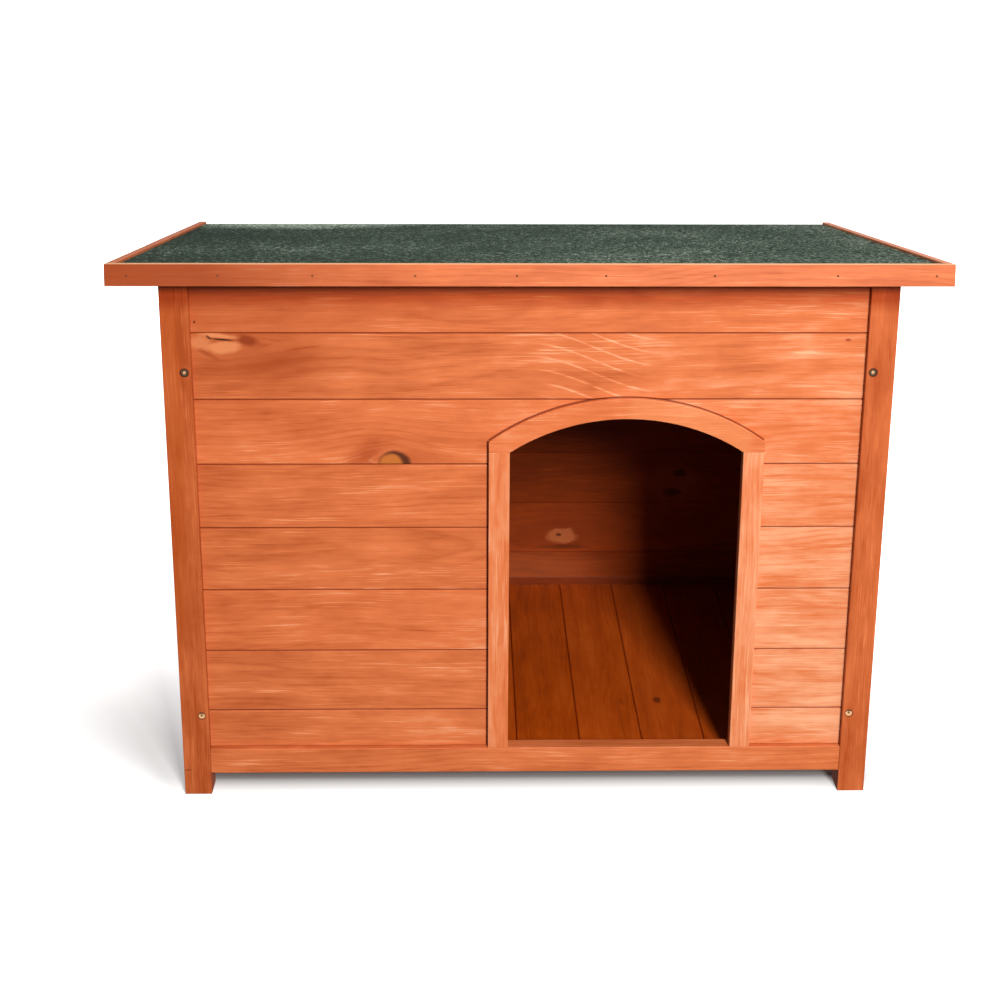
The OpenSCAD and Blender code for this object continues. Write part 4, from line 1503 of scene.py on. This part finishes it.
@dataclass
class Roof(Assembly):
    """The felt roof with its trims: its fall in degrees and its trims' height in millimetres."""

    body: str = "roof"
    fall: float = 7.6
    trim_h: float = 31.0

    def trim_top(self) -> float:
        """Measures how high the trims' top faces lie, square to the roof's fall, in millimetres.

        Returns:
            The height.
        """
        low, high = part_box("front_fascia")
        fall = math.radians(self.fall)
        edge_y = low[1] / MM + self.trim_h * math.sin(fall)
        return high[2] / MM * math.cos(fall) + edge_y * math.sin(fall)

    def trims(self) -> None:
        """Dresses the trims, the deck and the battens."""
        # a painted highlight along the top faces of the fascia and the trims
        worn = {"worn_top": self.trim_top(), "worn_fall": self.fall}
        # painted shade: the fascia's left end darker, away from the light
        dark_end = Blot(-640.0, 800.0, 350.0, 800.0, BURNT, strength=0.82, soft=0.9, ragged=0.15)
        self.planed("front_fascia", "roof_front_board", Run.WIDTH, seed=101.3, slope=0.0001, tone=0.14,
                    blots=(dark_end,), **worn)
        self.timber("rear_fascia", Run.WIDTH, seed=103.9)
        bruises = (Blot(-120.0, 750.0, 60.0, 60.0, REDDISH, strength=0.5, soft=0.9, ragged=0.6),
                   Blot(60.0, 730.0, 26.0, 60.0, REDDISH, strength=0.5, soft=0.9, ragged=0.6),
                   Blot(190.0, 715.0, 36.0, 60.0, REDDISH, strength=0.4, soft=0.9, ragged=0.6))
        self.timber("left_roof_trim", Run.DEPTH_UPRIGHT, seed=105.2, worn_colour=ROSY, blots=bruises, tone=0.15,
                    **worn)
        self.timber("right_roof_trim", Run.DEPTH_UPRIGHT, seed=107.7, worn_colour=SHELL, **worn)
        self.timber("roof_deck", Run.WIDTH, seed=109.4, eased=False, ring=9.0)
        self.timber("front_roof_batten", Run.WIDTH, seed=111.8)
        self.timber("rear_roof_batten", Run.WIDTH, seed=113.6)

    def felt(self) -> None:
        """Dresses the felt."""
        dress(self.node("roof_felt"), MineralFelt().material("green_felt"))
        log.info("dressed roof_felt")

    def build(self) -> None:
        """Builds the whole roof."""
        self.trims()
        self.felt()


@dataclass
class Fixings(Assembly):
    """The screws, hinges and the roof stay."""

    body: str = "cabin"
    yellow: tuple[str, ...] = ("leg_screws",)
    bright: tuple[str, ...] = ("hinge_wall_leaves", "hinge_pins", "hinge_wall_screws", "stay_stud",
                               "hinge_roof_leaves", "hinge_roof_screws", "stay_bracket", "bracket_screws",
                               "stay_rivet", "roof_stay")

    def build(self) -> None:
        """Dresses the metal pieces."""
        yellow = ScrewHeads().material("yellow_zinc")
        bright = ZincPlate(Plating.BRIGHT).material("bright_zinc")
        stained = ZincPlate(Plating.STAINED, 0.6).material("stained_zinc")
        for names, material in ((self.yellow, yellow), (self.bright, bright), (("fascia_brads",), stained)):
            for name in names:
                dress(self.node(name), material)
                log.info("dressed %s", name)


@dataclass(frozen=True)
class Lamp:
    """A soft lamp.

    Attributes:
        name: Its name.
        place: Where it hangs, in metres.
        aim: What it points at.
        size: Its width and height.
        power: Its power in watts.
        colour: Its colour.
        shines: Whether varnish and metal mirror it.
    """

    name: str
    place: tuple[float, float, float]
    aim: tuple[float, float, float]
    size: tuple[float, float]
    power: float
    colour: Colour = (1.0, 0.985, 0.965)
    shines: bool = True

    def hang(self) -> None:
        """Hangs the lamp."""
        data = bpy.data.lights.new(self.name, "AREA")
        data.shape = "RECTANGLE"
        data.size, data.size_y = self.size
        data.energy = self.power
        data.color = self.colour
        lamp = bpy.data.objects.new(self.name, data)
        lamp.location = self.place
        lamp.rotation_euler = (Vector(self.aim) - Vector(self.place)).to_track_quat("-Z", "Y").to_euler()
        lamp.visible_camera = False
        lamp.visible_glossy = self.shines
        bpy.context.scene.collection.objects.link(lamp)


@dataclass
class Studio:
    """A pale floor, soft light and the camera.

    Attributes:
        focal: The camera's focal length in pixels of the frame.
        frame_px: The frame's width in pixels.
        sensor: The sensor's width in millimetres.
        place: Where the camera stands, in millimetres from the middle of the legs' front.
        pitch: How far it looks down, in degrees.
        yaw: How far it looks to the right.
        roll: How far it leans.
        shift: How far the frame lies below the camera's axis, in shares of the frame.
        ground: The floor's radius in metres.
        sky: How bright the sky is.
        lamps: The lamps.
    """

    focal: float = 1635.56
    frame_px: float = 1000.0
    sensor: float = 36.0
    place: tuple[float, float, float] = (-84.82, -2185.45, 1328.99)
    pitch: float = 16.1575
    yaw: float = 1.1164
    roll: float = 0.2957
    shift: float = -0.15
    ground: float = 60.0
    sky: float = 0.2
    lamps: tuple[Lamp, ...] = (
        Lamp("key", (1.19, -4.75, 2.97), (0.05, -0.3, 0.45), (0.95, 1.9), 400.0),
        Lamp("side", (2.3, -1.4, 1.5), (0.4, -0.3, 0.4), (1.2, 1.2), 14.0),
        Lamp("top", (0.3, 0.1, 3.2), (0.1, 0.0, 0.7), (1.6, 1.2), 26.0, colour=(1.0, 1.0, 1.0)),
        Lamp("back", (-0.6, 3.6, 0.5), (0.0, 0.3, 0.42), (2.4, 0.8), 55.0, shines=False))

    def camera(self) -> None:
        """Sets the camera at the photograph's place."""
        pitch, yaw, roll = (math.radians(a) for a in (self.pitch, self.yaw, self.roll))
        ahead = Vector((math.sin(yaw) * math.cos(pitch), math.cos(yaw) * math.cos(pitch), -math.sin(pitch)))
        right = Vector((math.cos(yaw), -math.sin(yaw), 0))
        up = right.cross(ahead)
        leaned = right * math.cos(roll) + up * math.sin(roll)
        raised = up * math.cos(roll) - right * math.sin(roll)
        x, y, z = self.place
        data = bpy.data.cameras.new("camera")
        data.lens = self.focal / self.frame_px * self.sensor
        data.sensor_width = self.sensor
        data.shift_y = self.shift
        camera = bpy.data.objects.new("camera", data)
        turned = Matrix((leaned, raised, -ahead)).transposed().to_4x4()
        camera.matrix_world = Matrix.Translation(Vector((x, y + FRONT_Y, z)) * MM) @ turned
        bpy.context.scene.collection.objects.link(camera)
        bpy.context.scene.camera = camera

    def floor(self) -> None:
        """Lays a wide pale floor."""
        bpy.ops.object.select_all(action="DESELECT")
        bpy.ops.mesh.primitive_circle_add(vertices=96, radius=self.ground, fill_type="NGON", location=(0, 0, 0))
        floor = bpy.context.object
        floor.name = "floor"
        dress(floor, PaleFloor().material("pale_floor"))
        floor.visible_diffuse = False
        floor.visible_glossy = False

    def lights(self) -> None:
        """Sets the sky and the lamps."""
        world = bpy.data.worlds.new("studio")
        world.use_nodes = True
        sky = world.node_tree.nodes["Background"]
        sky.inputs["Color"].default_value = (1, 1, 1, 1)
        sky.inputs["Strength"].default_value = self.sky
        bpy.context.scene.world = world
        for lamp in self.lamps:
            lamp.hang()

    def build(self) -> None:
        """Builds the stage."""
        bpy.context.scene.view_settings.view_transform = "Standard"
        self.camera()
        self.floor()
        self.lights()


def main() -> None:
    """Builds the kennel's looks round its frame."""
    logging.basicConfig(level=logging.INFO, format="%(name)s: %(message)s")
    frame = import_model()
    Studio().build()
    for assembly in (Cabin(frame), Roof(frame), Fixings(frame)):
        assembly.build()


if __name__ == "__main__":
    main()
